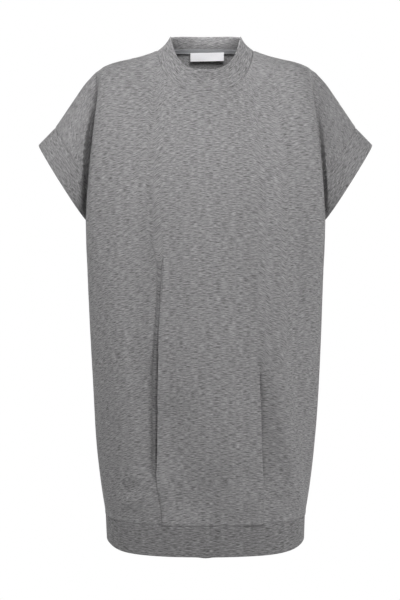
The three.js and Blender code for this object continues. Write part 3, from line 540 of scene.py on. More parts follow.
def yoke_rows(underarm, steps, face, side):
    """Half rows from the underarm to the shoulder seam, out to the cuff seam."""
    front, back = (FRONT_NECK, FRONT_SHOULDER, FRONT_TURN), (BACK_NECK, BACK_SHOULDER, BACK_TURN)
    neck, shoulder, turn = front if face < 0 else back
    start = underarm * (side, 1, 1)
    end = [neck_ring(NECK_SEAM, math.radians(angle), face) for angle in neck]
    end = np.array(end + [np.array([x, 0, shoulder_z(x)]) for x in shoulder])
    seam = len(end) - 1
    outward = start[:, 0] / start[turn, 0]
    rows = []
    for step in steps:
        row = list(chest_row(start, end, step, outward, face)[: turn + 1])
        crest, crease = row[-1], crease_spot(start[seam], end[seam], step, face)
        cuff = sleeve_oval(step, face)
        for i in range(turn + 1, seam):
            t = (i - turn) / (seam - turn)
            bow = start[i] - lerp(start[turn], start[seam], t)
            row.append(lerp(crest, crease, t) + bow * (1 - step))
        row.append(crease)
        for t in SLEEVE_STEPS:
            over = lerp(end[seam], sleeve_oval(1, face), t)
            point = lerp(crease, cuff, t)
            point[1] += face * SLEEVE_CROWN * 4 * t * (1 - t) * math.sin(math.pi * step)
            point[2] += (shoulder_z(over[0]) - over[2]) * step**ROOF_POWER
            row.append(point)
        rows.append(np.array(row) * (side, 1, 1))
    return rows


def through(points, shares):
    """Smooth curves along the second axis of a grid, with new points at the given shares of each gap."""
    before_all, after_all = 2 * points[:, :1] - points[:, 1:2], 2 * points[:, -1:] - points[:, -2:-1]
    ends = np.concatenate([before_all, points, after_all], axis=1)
    reach = np.maximum(np.linalg.norm(np.diff(ends, axis=1), axis=2) ** 0.5, 1e-3)[..., None]
    made = [points[:, :1]]
    for i, gap in enumerate(shares):
        before, here, after, beyond = (ends[:, i + k] for k in range(4))
        d0, d1, d2 = (reach[:, i + k] for k in range(3))
        leave = ((here - before) / d0 - (after - before) / (d0 + d1) + (after - here) / d1) * d1
        arrive = ((after - here) / d1 - (beyond - here) / (d1 + d2) + (beyond - after) / d2) * d1
        for t in gap:
            point = here * (2 * t**3 - 3 * t**2 + 1) + leave * (t**3 - 2 * t**2 + t)
            point = point + after * (3 * t**2 - 2 * t**3) + arrive * (t**3 - t**2)
            made.append(point[:, None])
    return np.concatenate(made, axis=1)


def soften(points, weight, rounds):
    """Evens out a grid along its rows, by a weight for each point."""
    share = weight[:, 1:-1, None] * 0.5
    for _ in range(rounds):
        points[:, 1:-1] += share * ((points[:, 2:] + points[:, :-2]) / 2 - points[:, 1:-1])


def beside_seam(length, grid):
    """Shares of a gap that starts at a seam: close together beside it, then evenly."""
    close = [away / length for away in BESIDE_SEAM if away < length * BESIDE_REACH]
    even = np.linspace(0, 1, max(int(length / grid), 1) + 1)[1:]
    return close + [share for share in even if share > close[-1] * BESIDE_CLEAR]


def gap_shares(points, seam_first, seam_last, grid):
    """The shares at which each gap along the second axis is divided."""
    lengths = np.linalg.norm(np.diff(points, axis=1), axis=2).max(axis=0)
    counts = [max(int(round(length / grid)), 1) for length in lengths]
    shares = [[(k + 1) / count for k in range(count)] for count in counts]
    if seam_first:
        shares[0] = beside_seam(lengths[0], grid)
    if seam_last:
        shares[-1] = [1 - share for share in reversed(beside_seam(lengths[-1], grid)[:-1])] + [1.0]
    return shares


# ---- Meshes ----


def add_object(name, data):
    made = bpy.data.objects.new(name, data)
    bpy.context.scene.collection.objects.link(made)
    return made


def finish_mesh(name, points, faces, pattern, materials, inside=None, corners=None):
    """A mesh object from points in millimetres, with each corner's place in the flat pattern as a UV map."""
    mesh = bpy.data.meshes.new(name)
    mesh.from_pydata((np.asarray(points) * MM).tolist(), [], faces.tolist())
    corners = faces if corners is None else corners
    layer = mesh.uv_layers.new(name="pattern")
    layer.data.foreach_set("uv", (np.asarray(pattern, np.float32)[corners.ravel()] * MM).ravel())
    for material in materials:
        mesh.materials.append(material)
    if inside is not None:
        mesh.polygons.foreach_set("material_index", np.asarray(inside, np.int32))
    mesh.shade_smooth()
    mesh.set_sharp_from_angle(angle=math.radians(SHARP))
    mesh.update()
    return add_object(name, mesh)


def vertex_normals(points, faces):
    a, b, c, d = (points[faces[:, k]] for k in range(4))
    flat = np.cross(c - a, d - b)
    flat /= np.maximum(np.linalg.norm(flat, axis=1, keepdims=True), 1e-9)
    normals = np.zeros_like(points)
    for k in range(4):
        np.add.at(normals, faces[:, k], flat)
    return normals / np.maximum(np.linalg.norm(normals, axis=1, keepdims=True), 1e-9)


def grid_faces(index):
    """Quads of a grid of point numbers, in which -1 leaves a place out."""
    a, b, c, d = index[:-1, :-1], index[:-1, 1:], index[1:, 1:], index[1:, :-1]
    faces = np.stack([a, b, c, d], axis=-1).reshape(-1, 4)
    return faces[(faces >= 0).all(axis=1)]


def two_layers(faces, count):
    """The quads of a sheet's outside, of its inside, and of the rim that joins their free edges."""
    edges = np.concatenate([faces[:, [k, (k + 1) % 4]] for k in range(4)])
    key = edges[:, 0].astype(np.int64) * count + edges[:, 1]
    back = edges[:, 1].astype(np.int64) * count + edges[:, 0]
    free = edges[~np.isin(key, back)]
    rim = np.stack([free[:, 1], free[:, 0], free[:, 0] + count, free[:, 1] + count], axis=1)
    return np.concatenate([faces, faces[:, ::-1] + count, rim])


def flat_pattern(u, v):
    """Every pair of a length across and a length up, in the order of a grid's points."""
    return np.stack(np.meshgrid(u, v, indexing="ij"), axis=-1).reshape(-1, 2)


# ---- The two panels ----


def crease_height(creases, across, up):
    """The height of listed creases over points seen flat, each tapering to both its ends."""
    total = np.zeros_like(across)
    for crease in creases:
        start = np.array([crease["from_x"], crease["from_z"]])
        line = np.array([crease["to_x"], crease["to_z"]]) - start
        length = np.linalg.norm(line)
        along, beside = line / length, np.array([-line[1], line[0]]) / length
        dx, dz = across - start[0], up - start[1]
        t = (dx * along[0] + dz * along[1]) / length
        off = dx * beside[0] + dz * beside[1] - crease["bow"] * 4 * t * (1 - t)
        peak = crease["peak"]
        swell = np.where(t < peak, ease(t / peak), ease((1 - t) / (1 - peak)))
        width = np.where((off > 0) == (line[1] < 0), crease["high_side"], crease["low_side"])
        total += crease["height"] * swell * np.exp(-((off / width) ** 2))
    return total


def seam_height(distance):
    """How the cloth turns in at a seam, with the ridge of its allowance beside it."""
    roll = -SEAM_ROLL["depth"] * np.clip(1 - distance / SEAM_ROLL["width"], 0, 1) ** 2
    from_ridge = (distance - SEAM_RIDGE["centre"]) / SEAM_RIDGE["width"]
    return roll + SEAM_RIDGE["height"] * np.exp(-(from_ridge**2))


def armhole_fold(across, depth, up, side):
    """How far a point of a sleeve or cuff moves back into the fold beside the body's edge."""
    edge = np.interp(up, BODY_EDGE["z"], BODY_EDGE["x"])
    wide = np.interp(up, BODY_EDGE["z"], BODY_EDGE["wide"]) * ARMHOLE_SHARE[side]
    within = ease((edge + wide + FOLD_EDGE / 2 - np.abs(across)) / FOLD_EDGE) * ease(wide / FOLD_WIDE)
    return within * np.maximum(-depth - FOLD_FLOOR, 0)


def coarse_panel(face):
    """A panel in three coarse grids: one sleeve, the body and the other sleeve."""
    row_of = front_row if face < 0 else back_row
    sides = (-1, 1) if face < 0 else (1, -1)
    heights = np.linspace(HEM_SEAM_Z, UNDERARM_Z, ROWS["below_underarm"] + 1)[:-1]
    steps = np.linspace(0, 1, ROWS["above"])
    halves = [
        [row_of(z, side) for z in heights] + yoke_rows(row_of(UNDERARM_Z, side), steps, face, side)
        for side in sides
    ]
    sleeve = len(SLEEVE_STEPS)
    low = np.array([np.concatenate([a[:0:-1], b]) for a, b in zip(*halves)][: len(heights)])
    yoke = np.array([np.concatenate([a[:0:-1], b]) for a, b in zip(*halves)][len(heights) :])
    return yoke[:, : sleeve + 1], np.concatenate([low, yoke[:, sleeve:-sleeve]]), yoke[:, -sleeve - 1 :]


def fine_panel(face):
    """The same three grids with all their points, evened out, and how many rows are below the sleeves."""
    seams = ((True, False, SLEEVE_GRID), (True, True, GRID), (False, True, SLEEVE_GRID))
    parts = [turned(through(part, gap_shares(part, *seam))) for part, seam in zip(coarse_panel(face), seams)]
    rise = gap_shares(parts[1], True, True, GRID_UP)
    low, high = rise[: ROWS["below_underarm"]], rise[ROWS["below_underarm"] :]
    body = turned(through(parts[1], rise))
    sleeves = [turned(through(part, high)) for part in (parts[0], parts[2])]
    first = sum(len(gap) for gap in low)
    yoke = body[first:]
    to_top = run(body[::-1], 0)[::-1][first:]
    inwards = ease((YOKE_EVEN["to_x"] - np.abs(yoke[:, :, 0])) / YOKE_EVEN["fade"])
    weight = ease((to_top - YOKE_EVEN["clear"]) / YOKE_EVEN["over"]) * inwards
    weight[:2] = 0
    soften(yoke, weight, YOKE_EVEN["rounds"])
    inwards = ease((UNDERARM_EVEN["to_x"] - np.abs(body[:, :, 0])) / UNDERARM_EVEN["fade"])
    weight = ease(1 - np.abs(body[:, :, 2] - UNDERARM_Z) / UNDERARM_EVEN["reach"]) * inwards
    soften(turned(body), weight.T, UNDERARM_EVEN["rounds"])
    if face < 0:
        for sleeve, side in zip(sleeves, (-1, 1)):
            sleeve[..., 1] += armhole_fold(sleeve[..., 0], sleeve[..., 1], sleeve[..., 2], side)
    sleeves[0][:, -1] = body[first:, 0]
    sleeves[1][:, 0] = body[first:, -1]
    return sleeves[0], body, sleeves[1], first


def sleeve_fields(sleeve, inner, u, v):
    """A sleeve's flat pattern, carried on from the body's column beside it, and its distances from seams."""
    along, rise = run(sleeve, 1), run(sleeve, 0)
    outward = along - along[:, [inner]]
    shift = v - v[0] - rise[:, inner]
    return {
        "u": u[:, None] + outward,
        "v": rise + v[0] + shift[:, None] * np.exp(-np.abs(outward) / PATTERN_FADE),
        "hem": np.full(along.shape, FAR),
        "side": rise,
        "top": run(sleeve[::-1], 0)[::-1],
        "cuff": np.abs(along - along[:, [-1 - inner]]),
    }


def side_by_side(left, body, right):
    """One grid from a sleeve, the body and a sleeve, with nothing below the sleeves."""

    def with_gap(part):
        return np.concatenate([np.full((len(body) - len(part),) + part.shape[1:], np.nan), part])

    return np.concatenate([with_gap(left[:, :-1]), body, with_gap(right[:, 1:])], axis=1)


def panel_surface(face):
    """The outside of a panel as a fine grid, its flat pattern and its distances from its seams."""
    left, body, right, first = fine_panel(face)
    centre = int(np.argmin(np.abs(body[0, :, 0])))
    u, v = run(body, 1), run(body, 0)
    to_side = np.minimum(u, run(body[:, ::-1], 1)[:, ::-1])
    to_side[first:] = FAR
    u = u - u[:, [centre]]
    to_top = run(body[::-1], 0)[::-1]
    fields = {"u": u, "v": v, "hem": v, "side": to_side, "top": to_top, "cuff": np.full(u.shape, FAR)}
    left_fields = sleeve_fields(left, -1, u[first:, 0], v[first:, 0])
    right_fields = sleeve_fields(right, 0, u[first:, -1], v[first:, -1])
    fields = {
        name: side_by_side(left_fields[name], field, right_fields[name]) for name, field in fields.items()
    }
    return side_by_side(left, body, right), fields


def panel_relief(face, points, normals, near):
    """How far each point stands out: the creases over it, and the roll and ridge beside each seam."""
    x, y, z = points.T
    at_neck = ease((NECK_PULL["reach"] - np.abs(x)) / NECK_PULL["fade"]) * (face < 0)
    middle = np.exp(-(((x - NECK_PULL["from_x"]) / NECK_PULL["half_width"]) ** 4))
    pull = at_neck * (NECK_PULL["middle"] * middle - NECK_PULL["less"])
    facing = ease((face * normals[:, 1] - CREASE_FACING["least"]) / CREASE_FACING["over"])
    lift = facing * crease_height(FRONT_CREASES if face < 0 else BACK_CREASES, x, z)
    below = ease((UNDERARM_Z - SIDE_FACING["below_underarm"] - z) / SIDE_FACING["fade"])
    for side in (-1, 1):
        facing = ease((side * normals[:, 0] - SIDE_FACING["least"]) / SIDE_FACING["over"])
        lift += facing * below * crease_height([c for c in SIDE_CREASES if c["side"] == side], y, z)
    for seam, strength in SEAM_STRENGTH.items():
        lift += seam_height(near[seam]) * (strength + pull * (seam == "top"))
    return lift


def build_panel(name, face, materials):
    """A panel's piece, its outside as a grid, and that grid's distances from its seams."""
    skin, fields = panel_surface(face)
    present = ~np.isnan(skin[..., 0])
    index = np.full(present.shape, -1, int)
    index[present] = np.arange(present.sum())
    outer, faces = skin[present], grid_faces(index)
    near = {key: field[present] for key, field in fields.items()}
    normals = vertex_normals(outer, faces)
    outer = outer + normals * panel_relief(face, outer, normals, near)[:, None]
    outer[:, 1] = face * np.maximum(face * outer[:, 1], SEAM_GAP / 2)
    inner = outer - vertex_normals(outer, faces) * CLOTH
    inner[:, 1] = face * np.maximum(face * inner[:, 1], SEAM_GAP / 2)
    every = two_layers(faces, len(outer))
    inside = np.arange(len(every)) // len(faces) == 1
    droop = np.where(face * near["u"] > 0, GRAIN_DROOP["right"], GRAIN_DROOP["left"]) * near["u"] ** 2
    pattern = np.stack([near["u"] + PATTERN_APART["back"] * (face > 0), near["v"] + droop], axis=1)
    pattern = np.concatenate([pattern, pattern + PATTERN_APART["inside"]])
    made = finish_mesh(name, np.concatenate([outer, inner]), every, pattern, materials, inside)
    skin[present] = outer
    return made, skin, fields


# ---- Rings: collar, cuffs and hem band ----


def ring_shell(name, sections, materials):
    """A closed band from sections, each a loop of points from its outside round its edge to its inside."""
    grid = np.array(sections)
    stations, size = grid.shape[:2]
    number = np.arange(stations * size).reshape(stations, size)
    faces = grid_faces(np.pad(number, ((0, 1), (0, 1)), mode="wrap"))
    around = np.linalg.norm(np.roll(grid, -1, axis=0) - grid, axis=2).mean(axis=1)
    u = np.concatenate([[0], np.cumsum(around)])
    v = run(grid, 1).mean(axis=0)
    v = np.append(v, v[-1] + v[1])
    corners = grid_faces(np.arange(len(u) * len(v)).reshape(len(u), len(v)))
    return finish_mesh(name, grid.reshape(-1, 3), faces, flat_pattern(u, v), materials, corners=corners)


def folded_profile(height):
    """Up a doubled band from its seam, over its fold and down inside: heights, and depths from outside."""
    radius, roll, steps = DOUBLED / 2, BAND_EDGE["roll"], BAND_EDGE["fold_steps"]
    top, plain = height - radius, BAND_ROLL[-1][0]
    count = max(int((top - plain) / GRID), 1)
    spots = [(-BAND_EDGE["tuck_in"], roll + BAND_EDGE["outside_in"])]
    spots += [(rise, roll * share) for rise, share in BAND_ROLL]
    spots += [(lerp(plain, top, (k + 1) / (count + 1)), 0.0) for k in range(count)]
    for k in range(steps + 1):
        turn = math.pi * k / steps
        spots.append((top + radius * math.sin(turn), radius - radius * math.cos(turn)))
    spots += [(lerp(top, 0.0, (k + 1) / (count + 2)), DOUBLED) for k in range(count + 1)]
    return spots + [(0.0, DOUBLED), (-BAND_EDGE["tuck_in"], DOUBLED - BAND_EDGE["inside_out"])]


def collar_station(degrees):
    """An angle all the way round the neck from the centre front, as an angle, a side and a face."""
    away = abs(degrees)
    return (math.radians(min(away, 180 - away)), 1 if degrees >= 0 else -1, -1 if away <= 90 else 1)


def collar_spot(degrees, share, depth):
    """A point of the collar at a share of its height and a depth in from its outside."""
    angle, side, face = collar_station(degrees)
    low, up, out, height = collar_lean(angle, face)
    swell = 0.0
    for crease in COLLAR_CREASES:
        away, above = apart(degrees, crease["degrees"]) / crease["width"], share - crease["share"]
        swell += crease["height"] * bump(away) * bump(above / crease["tall"])
    within = min(max(share, 0), 1)
    hollow = COLLAR_HOLLOW * 4 * within * (1 - within)
    proud = COLLAR_PROUD["height"] * bump(degrees / COLLAR_PROUD["degrees"]) * (1 - within) ** 3
    lift = swell * math.sin(math.pi * within) + proud - hollow - depth
    return (low + up * lerp(SEAM_GAP, height, share) + out * lift) * (side, 1, 1)


def build_collar(materials):
    profile = folded_profile(COLLAR_HEIGHT)
    turns = np.arange(-180, 180, STATIONS["collar"])
    sections = [[collar_spot(turn, rise / COLLAR_HEIGHT, depth) for rise, depth in profile] for turn in turns]
    return ring_shell("neck_collar", sections[::-1], materials)


def cuff_spot(side, degrees, rise, depth):
    """A point of a cuff: a turn round from the shoulder, a length out from its seam and a depth in."""
    share = rise / CUFF_DEPTH
    turn = math.radians(degrees)
    swell = 0.0
    for crease in CUFF_CREASES:
        swell += crease["height"] * bump(apart(degrees * side, crease["place"]) / crease["width"])
    swell *= lerp(*CUFF_SWELL, share)
    across, along = power(math.sin(turn), 2 / OVAL_POWER), power(math.cos(turn), 2 / OVAL_POWER)

    def layer(inward):
        long = lerp(SLEEVE_SEAM["long"], SLEEVE_MOUTH["long"], share) + inward
        deep = lerp(SLEEVE_SEAM["deep"], SLEEVE_MOUTH["deep"], share) + inward
        point = np.array([SLEEVE_SEAM["x"], across * deep, SLEEVE_SEAM["z"]])
        return point + CUFF_UP * (along * long) + CUFF_OUT * (SEAM_GAP + rise)

    point = layer(swell - depth)
    point[1] += armhole_fold(*layer(0), side)
    return point * (side, 1, 1)


def build_cuff(name, side, materials):
    profile = folded_profile(CUFF_DEPTH - SEAM_GAP)
    turns = np.arange(0, 360, STATIONS["cuff"])
    sections = [[cuff_spot(side, turn, rise, depth) for rise, depth in profile] for turn in turns]
    return ring_shell(name, sections[::side], materials)


def hem_stations():
    """Points round the hem seam from the centre front, with the way out, the side and the face."""
    stations = []
    for side, face in ((1, -1), (1, 1), (-1, 1), (-1, -1)):
        points, lengths = quarter_plan(HEM_SEAM_Z, face)
        count = int(lengths[-1] / STATIONS["band"])
        for k in range(count):
            share = k / count if side * face < 0 else 1 - k / count
            point, out = plan_at(points, lengths, share * lengths[-1])
            stations.append((point, out, side, face))
    return stations


def band_spot(station, place, rise, depth):
    """A point of the hem band at one of its stations, a length down from its seam and a depth in."""
    point, out, side, face = station
    side_share = (point[0] / plan["half"](HEM_SEAM_Z)) ** HEM_BAND["side_power"]
    tall = HEM_BAND["depth"] - HEM_BAND["side_lift"] * side_share - SEAM_GAP
    if face < 0:
        tall += CENTRE_POINT["drop"] * bump(point[0] / CENTRE_POINT["half_width"])
    else:
        tall -= HEM_BAND["back_lift"] * (1 - side_share)
    share = rise / (HEM_BAND["depth"] - SEAM_GAP)
    swell = 0.0
    for crease in BAND_CREASES:
        swell += crease["height"] * bump((place - crease["place"]) / crease["width"])
    swell *= lerp(*BAND_SWELL, share)
    x, y = point - out * (depth + HEM_BAND["draw_in"] * share - swell)
    return np.array([side * x, face * y, HEM_SEAM_Z - SEAM_GAP - tall * share])


def build_band(materials):
    stations = hem_stations()
    spots = np.array([(point[0] * side, point[1] * face) for point, _, side, face in stations])
    steps = np.linalg.norm(np.roll(spots, -1, axis=0) - spots, axis=1)
    girth = steps.sum()
    places = np.concatenate([[0], np.cumsum(steps)[:-1]])
    places = np.where(places > girth / 2, places - girth, places)
    profile = folded_profile(HEM_BAND["depth"] - SEAM_GAP)
    sections = [
        [band_spot(station, place, rise, depth) for rise, depth in profile]
        for station, place in zip(stations, places)
    ]
    return ring_shell("hem_band_doubled", sections, materials)


# ---- Neck tape and label, inside the back neck ----


def inside_neck(turn, share, off):
    """A point over the collar's inside at a turn from the centre back, a share up it and a length off it."""
    return collar_spot(math.copysign(180 - abs(turn), turn), share, DOUBLED + off)


def strip_shell(name, face, rear, u, v, materials):
    """A flat strip: a grid for its face and one for its back, joined round its edges."""
    rows, columns = face.shape[:2]
    count = rows * columns
    face, rear = face.reshape(-1, 3), rear.reshape(-1, 3)
    faces = grid_faces(np.arange(count).reshape(rows, columns))
    if (vertex_normals(face, faces) * (face - rear)).sum() < 0:
        faces = faces[:, ::-1]
    pattern = np.tile(flat_pattern(u, v), (2, 1))
    return finish_mesh(name, np.concatenate([face, rear]), two_layers(faces, count), pattern, materials)


def build_tape(materials):
    """The tape lies half on the collar's inside and half on the back panel, over their seam."""
    turns = np.linspace(-TAPE["end_angle"], TAPE["end_angle"], TAPE["stations"])

    def layer(off):
        lines = []
        for turn in turns:
            height = collar_lean(math.radians(abs(turn)), 1)[3]
            top, seam = inside_neck(turn, TAPE["width"] / 2 / height, off), inside_neck(turn, 0, off)
            lines.append([lerp(top, seam, t) for t in np.linspace(0, 2, TAPE["rows"])])
        return np.array(lines)

    face, rear = layer(TAPE["gap"] + TAPE["thick"]), layer(TAPE["gap"])
    u, v = line_run(face[:, (TAPE["rows"] - 1) // 2]), np.linspace(TAPE["width"], 0, TAPE["rows"])
    return strip_shell("neck_tape_strip", face, rear, u, v, materials), face


def build_label(materials):
    """A bare woven label, held at its top by the tape and standing off a little at its foot."""
    across = np.linspace(LABEL["from_x"], LABEL["to_x"], LABEL_POINTS["across"])
    down = np.linspace(0, 1, LABEL_POINTS["down"])

    def layer(off):
        lines = []
        for x in across:
            turn = math.degrees(math.asin(x / NECK_SEAM["half_width"]))
            top = inside_neck(turn, 0, TAPE["gap"] + TAPE["thick"] + LABEL["gap"])
            ripple = LABEL_HANG["ripple"] * math.sin(x / LABEL_HANG["ripple_length"])
            out = ripple * np.sin(math.pi * down) - LABEL_HANG["stand"] * down**1.5 - off
            fall = LABEL["from_seam"] - LABEL_HANG["tilt"] * (x - LABEL["from_x"]) + LABEL["drop"] * down
            lines.append(top + np.stack([0 * down, out, -fall], axis=1))
        return np.array(lines)

    face, rear = layer(LABEL["thick"]), layer(0)
    u, v = across - LABEL["from_x"], LABEL["drop"] * (1 - down)
    return strip_shell("neck_label", face, rear, u, v, materials), face


# ---- Node trees ----


def new_group(name, inputs, outputs, kind="ShaderNodeTree"):
    tree = bpy.data.node_groups.new(name, kind)
    for way, sockets in (("INPUT", inputs), ("OUTPUT", outputs)):
        for label, value in sockets:
            tree.interface.new_socket(name=label, in_out=way, socket_type="NodeSocket" + value)
    return tree, tree.nodes.new("NodeGroupInput"), tree.nodes.new("NodeGroupOutput")


def put(tree, kind, settings=None, **inputs):
    """A node with its settings, its inputs given as values or as sockets or nodes to link from."""
    made = tree.nodes.new(kind)
    for name, value in (settings or {}).items():
        setattr(made, name, value)
    for name, value in inputs.items():
        numbered = name.startswith("at") and name[2:].isdigit()
        socket = made.inputs[int(name[2:]) if numbered else name.replace("_", " ")]
        if isinstance(value, bpy.types.Node):
            value = value.outputs[0]
        if isinstance(value, bpy.types.NodeSocket):
            tree.links.new(value, socket)
        else:
            socket.default_value = value
    return made


def sums(tree, operation, a, b=None, c=None):
    values = {f"at{k}": value for k, value in enumerate((a, b, c)) if value is not None}
    return put(tree, "ShaderNodeMath", {"operation": operation}, **values).outputs[0]


def times(tree, a, b):
    return sums(tree, "MULTIPLY", a, b)


# ---- Stitching ----


def stitch_tree():
    """Geometry Nodes that lay short stitches end to end along a line."""
    floats = [(name, "Float") for name in ("Pitch", "Stitch Length", "Thread Thickness")]
    inputs = [("Line", "Geometry")] + floats + [("Thread", "Material")]
    outputs = [("Stitches", "Geometry")]
    tree, given, out = new_group("stitches along a seam", inputs, outputs, "GeometryNodeTree")
    give = given.outputs
    curve = put(tree, "GeometryNodeMeshToCurve", Mesh=give["Line"])
    evenly = put(tree, "GeometryNodeResampleCurve", {"mode": "LENGTH"}, Curve=curve, Length=give["Pitch"])
    ball = put(tree, "GeometryNodeMeshUVSphere", Segments=6, Rings=5, Radius=0.5)
    thick = give["Thread Thickness"]
    size = put(tree, "ShaderNodeCombineXYZ", X=thick, Y=thick, Z=give["Stitch Length"])
    tangent = put(tree, "GeometryNodeInputTangent")
    turn = put(tree, "FunctionNodeAlignRotationToVector", {"axis": "Z"}, Vector=tangent)
    place = put(tree, "GeometryNodeInstanceOnPoints", Points=evenly, Instance=ball, Rotation=turn, Scale=size)
    real = put(tree, "GeometryNodeRealizeInstances", Geometry=place)
    smooth = put(tree, "GeometryNodeSetShadeSmooth", Geometry=real)
    paint = put(tree, "GeometryNodeSetMaterial", Geometry=smooth, Material=give["Thread"])
    tree.links.new(paint.outputs["Geometry"], out.inputs["Stitches"])
    return tree


stitches = stitch_tree()


def sew(name, lines, thread, pitch=3.1, length=2.7, thickness=0.62):
    """Stitches along lines of points in millimetres, as one plain mesh."""
    mesh = bpy.data.meshes.new(name + "_line")
    points, edges = [], []
    for line in lines:
        edges += [(len(points) + k, len(points) + k + 1) for k in range(len(line) - 1)]
        points += [tuple(point * MM) for point in line]
    mesh.from_pydata(points, edges, [])
    holder = add_object(name + "_line", mesh)
    maker = holder.modifiers.new("stitches", "NODES")
    maker.node_group = stitches
    values = {"Pitch": pitch * MM, "Stitch Length": length * MM}
    values.update({"Thread Thickness": thickness * MM, "Thread": thread})
    for item in stitches.interface.items_tree:
        if item.in_out == "INPUT" and item.name in values:
            maker[item.identifier] = values[item.name]
    made = bpy.data.meshes.new_from_object(holder.evaluated_get(bpy.context.evaluated_depsgraph_get()))
    made.name = name
    bpy.data.objects.remove(holder)
    return add_object(name, made)


# ---- Materials ----


def grey(value, warm=0.0):
    """A grey given as a screen value from 0 to 255, a little warmer or cooler, as a linear colour."""
    linear = ((value / 255 + 0.055) / 1.055) ** 2.4
    return (linear * (1 + warm), linear * 0.985, linear * (1 - warm), 1)


def blend(tree, share, dark, light):
    """A mix of two colours, each given as a colour or as a socket."""
    return put(tree, "ShaderNodeMix", {"data_type": "RGBA"}, at0=share, at6=dark, at7=light).outputs[2]


def noise(tree, place, scale, detail, roughness=0.5):
    made = put(tree, "ShaderNodeTexNoise", Vector=place, Scale=scale, Detail=detail, Roughness=roughness)
    return made.outputs["Fac"]


def heather_group():
    """The light and dark fibres of a heather yarn, in short streaks along the knitted rows."""
    floats = [(name, "Float") for name in ("Streak Length", "Streak Height", "Contrast")]
    outputs = [("Shade", "Float"), ("Fleck", "Float")]
    tree, given, out = new_group("heather fibres", [("Pattern", "Vector")] + floats, outputs)
    long, high = given.outputs["Streak Length"], given.outputs["Streak Height"]
    parts = put(tree, "ShaderNodeSeparateXYZ", Vector=given.outputs["Pattern"])
    layers = []
    for stretch, drift in ((1.0, 0.0), (0.5, 37.0)):
        x = sums(tree, "DIVIDE", parts.outputs["X"], times(tree, long, stretch))
        y = sums(tree, "DIVIDE", parts.outputs["Y"], times(tree, high, stretch**0.5))
        place = put(tree, "ShaderNodeCombineXYZ", X=x, Y=y, Z=drift)
        layers.append(noise(tree, place, scale=1.0, detail=1.0, roughness=0.62))
    coarse, fine = times(tree, layers[0], HEATHER["coarse"]), times(tree, layers[1], HEATHER["fine"])
    both = sums(tree, "ADD", coarse, fine)
    spread = times(tree, sums(tree, "SUBTRACT", both, 0.5), given.outputs["Contrast"])
    shade = put(tree, "ShaderNodeMath", {"operation": "ADD", "use_clamp": True}, at0=spread, at1=0.5)
    limits = {"Value": layers[1], "From_Min": HEATHER["fleck_from"], "From_Max": HEATHER["fleck_to"]}
    fleck = put(tree, "ShaderNodeMapRange", {"interpolation_type": "SMOOTHSTEP"}, **limits)
    tree.links.new(shade.outputs[0], out.inputs["Shade"])
    tree.links.new(fleck.outputs["Result"], out.inputs["Fleck"])
    return tree


def loops_group():
    """Columns of small knitted loops: two leaning legs to each, one row above the next."""
    tree, given, out = new_group(
        "knitted loops",
        [("Pattern", "Vector"), ("Column Width", "Float"), ("Row Height", "Float")],
        [("Height", "Float")],
    )
    parts = put(tree, "ShaderNodeSeparateXYZ", Vector=given.outputs["Pattern"])
    x = sums(tree, "DIVIDE", parts.outputs["X"], given.outputs["Column Width"])
    y = sums(tree, "DIVIDE", parts.outputs["Y"], given.outputs["Row Height"])
    lean = sums(tree, "ABSOLUTE", sums(tree, "SUBTRACT", sums(tree, "FRACT", x), 0.5))
    leg = sums(tree, "SINE", times(tree, sums(tree, "FRACT", times(tree, x, 2.0)), math.pi))
    row = sums(tree, "SINE", times(tree, sums(tree, "ADD", y, times(tree, lean, LOOPS["lean"])), math.tau))
    lifted = sums(tree, "MULTIPLY_ADD", row, LOOPS["swell"], LOOPS["base"])
    tree.links.new(times(tree, leg, lifted), out.inputs["Height"])
    return tree


def tone_group():
    """Slow changes of tone across the cloth, in its own places, from wear and handling."""
    inputs = [("Place", "Vector"), ("Scale", "Float"), ("Amount", "Float")]
    tree, given, out = new_group("uneven tone", inputs, [("Factor", "Float")])
    slow = noise(tree, given.outputs["Place"], given.outputs["Scale"], detail=3.0)
    swing = times(tree, sums(tree, "SUBTRACT", slow, 0.5), given.outputs["Amount"])
    tree.links.new(sums(tree, "ADD", swing, 1.0), out.inputs["Factor"])
    return tree


heather, loops, tone = heather_group(), loops_group(), tone_group()


def new_material(name, roughness, sheen):
    material = bpy.data.materials.new(name)
    material.use_nodes = True
    tree = material.node_tree
    settings = {
        "Roughness": roughness, "Sheen Weight": sheen, "Sheen Roughness": 0.5, "Specular IOR Level": 0.15,
    }
    for name, value in settings.items():
        tree.nodes["Principled BSDF"].inputs[name].default_value = value
    return material, tree


def flat_place(tree):
    """A place in the flat pattern."""
    return put(tree, "ShaderNodeUVMap", {"uv_map": "pattern"}).outputs["UV"]


def across_and_up(tree):
    parts = put(tree, "ShaderNodeSeparateXYZ", Vector=flat_place(tree)).outputs
    return parts["X"], parts["Y"]


def dye(tree, colour):
    tree.links.new(colour, tree.nodes["Principled BSDF"].inputs["Base Color"])


def emboss(tree, height, strength, distance):
    """Presses a height into a material's surface, with a distance in millimetres."""
    pressed = put(tree, "ShaderNodeBump", Height=height, Strength=strength, Distance=distance * MM)
    tree.links.new(pressed.outputs["Normal"], tree.nodes["Principled BSDF"].inputs["Normal"])


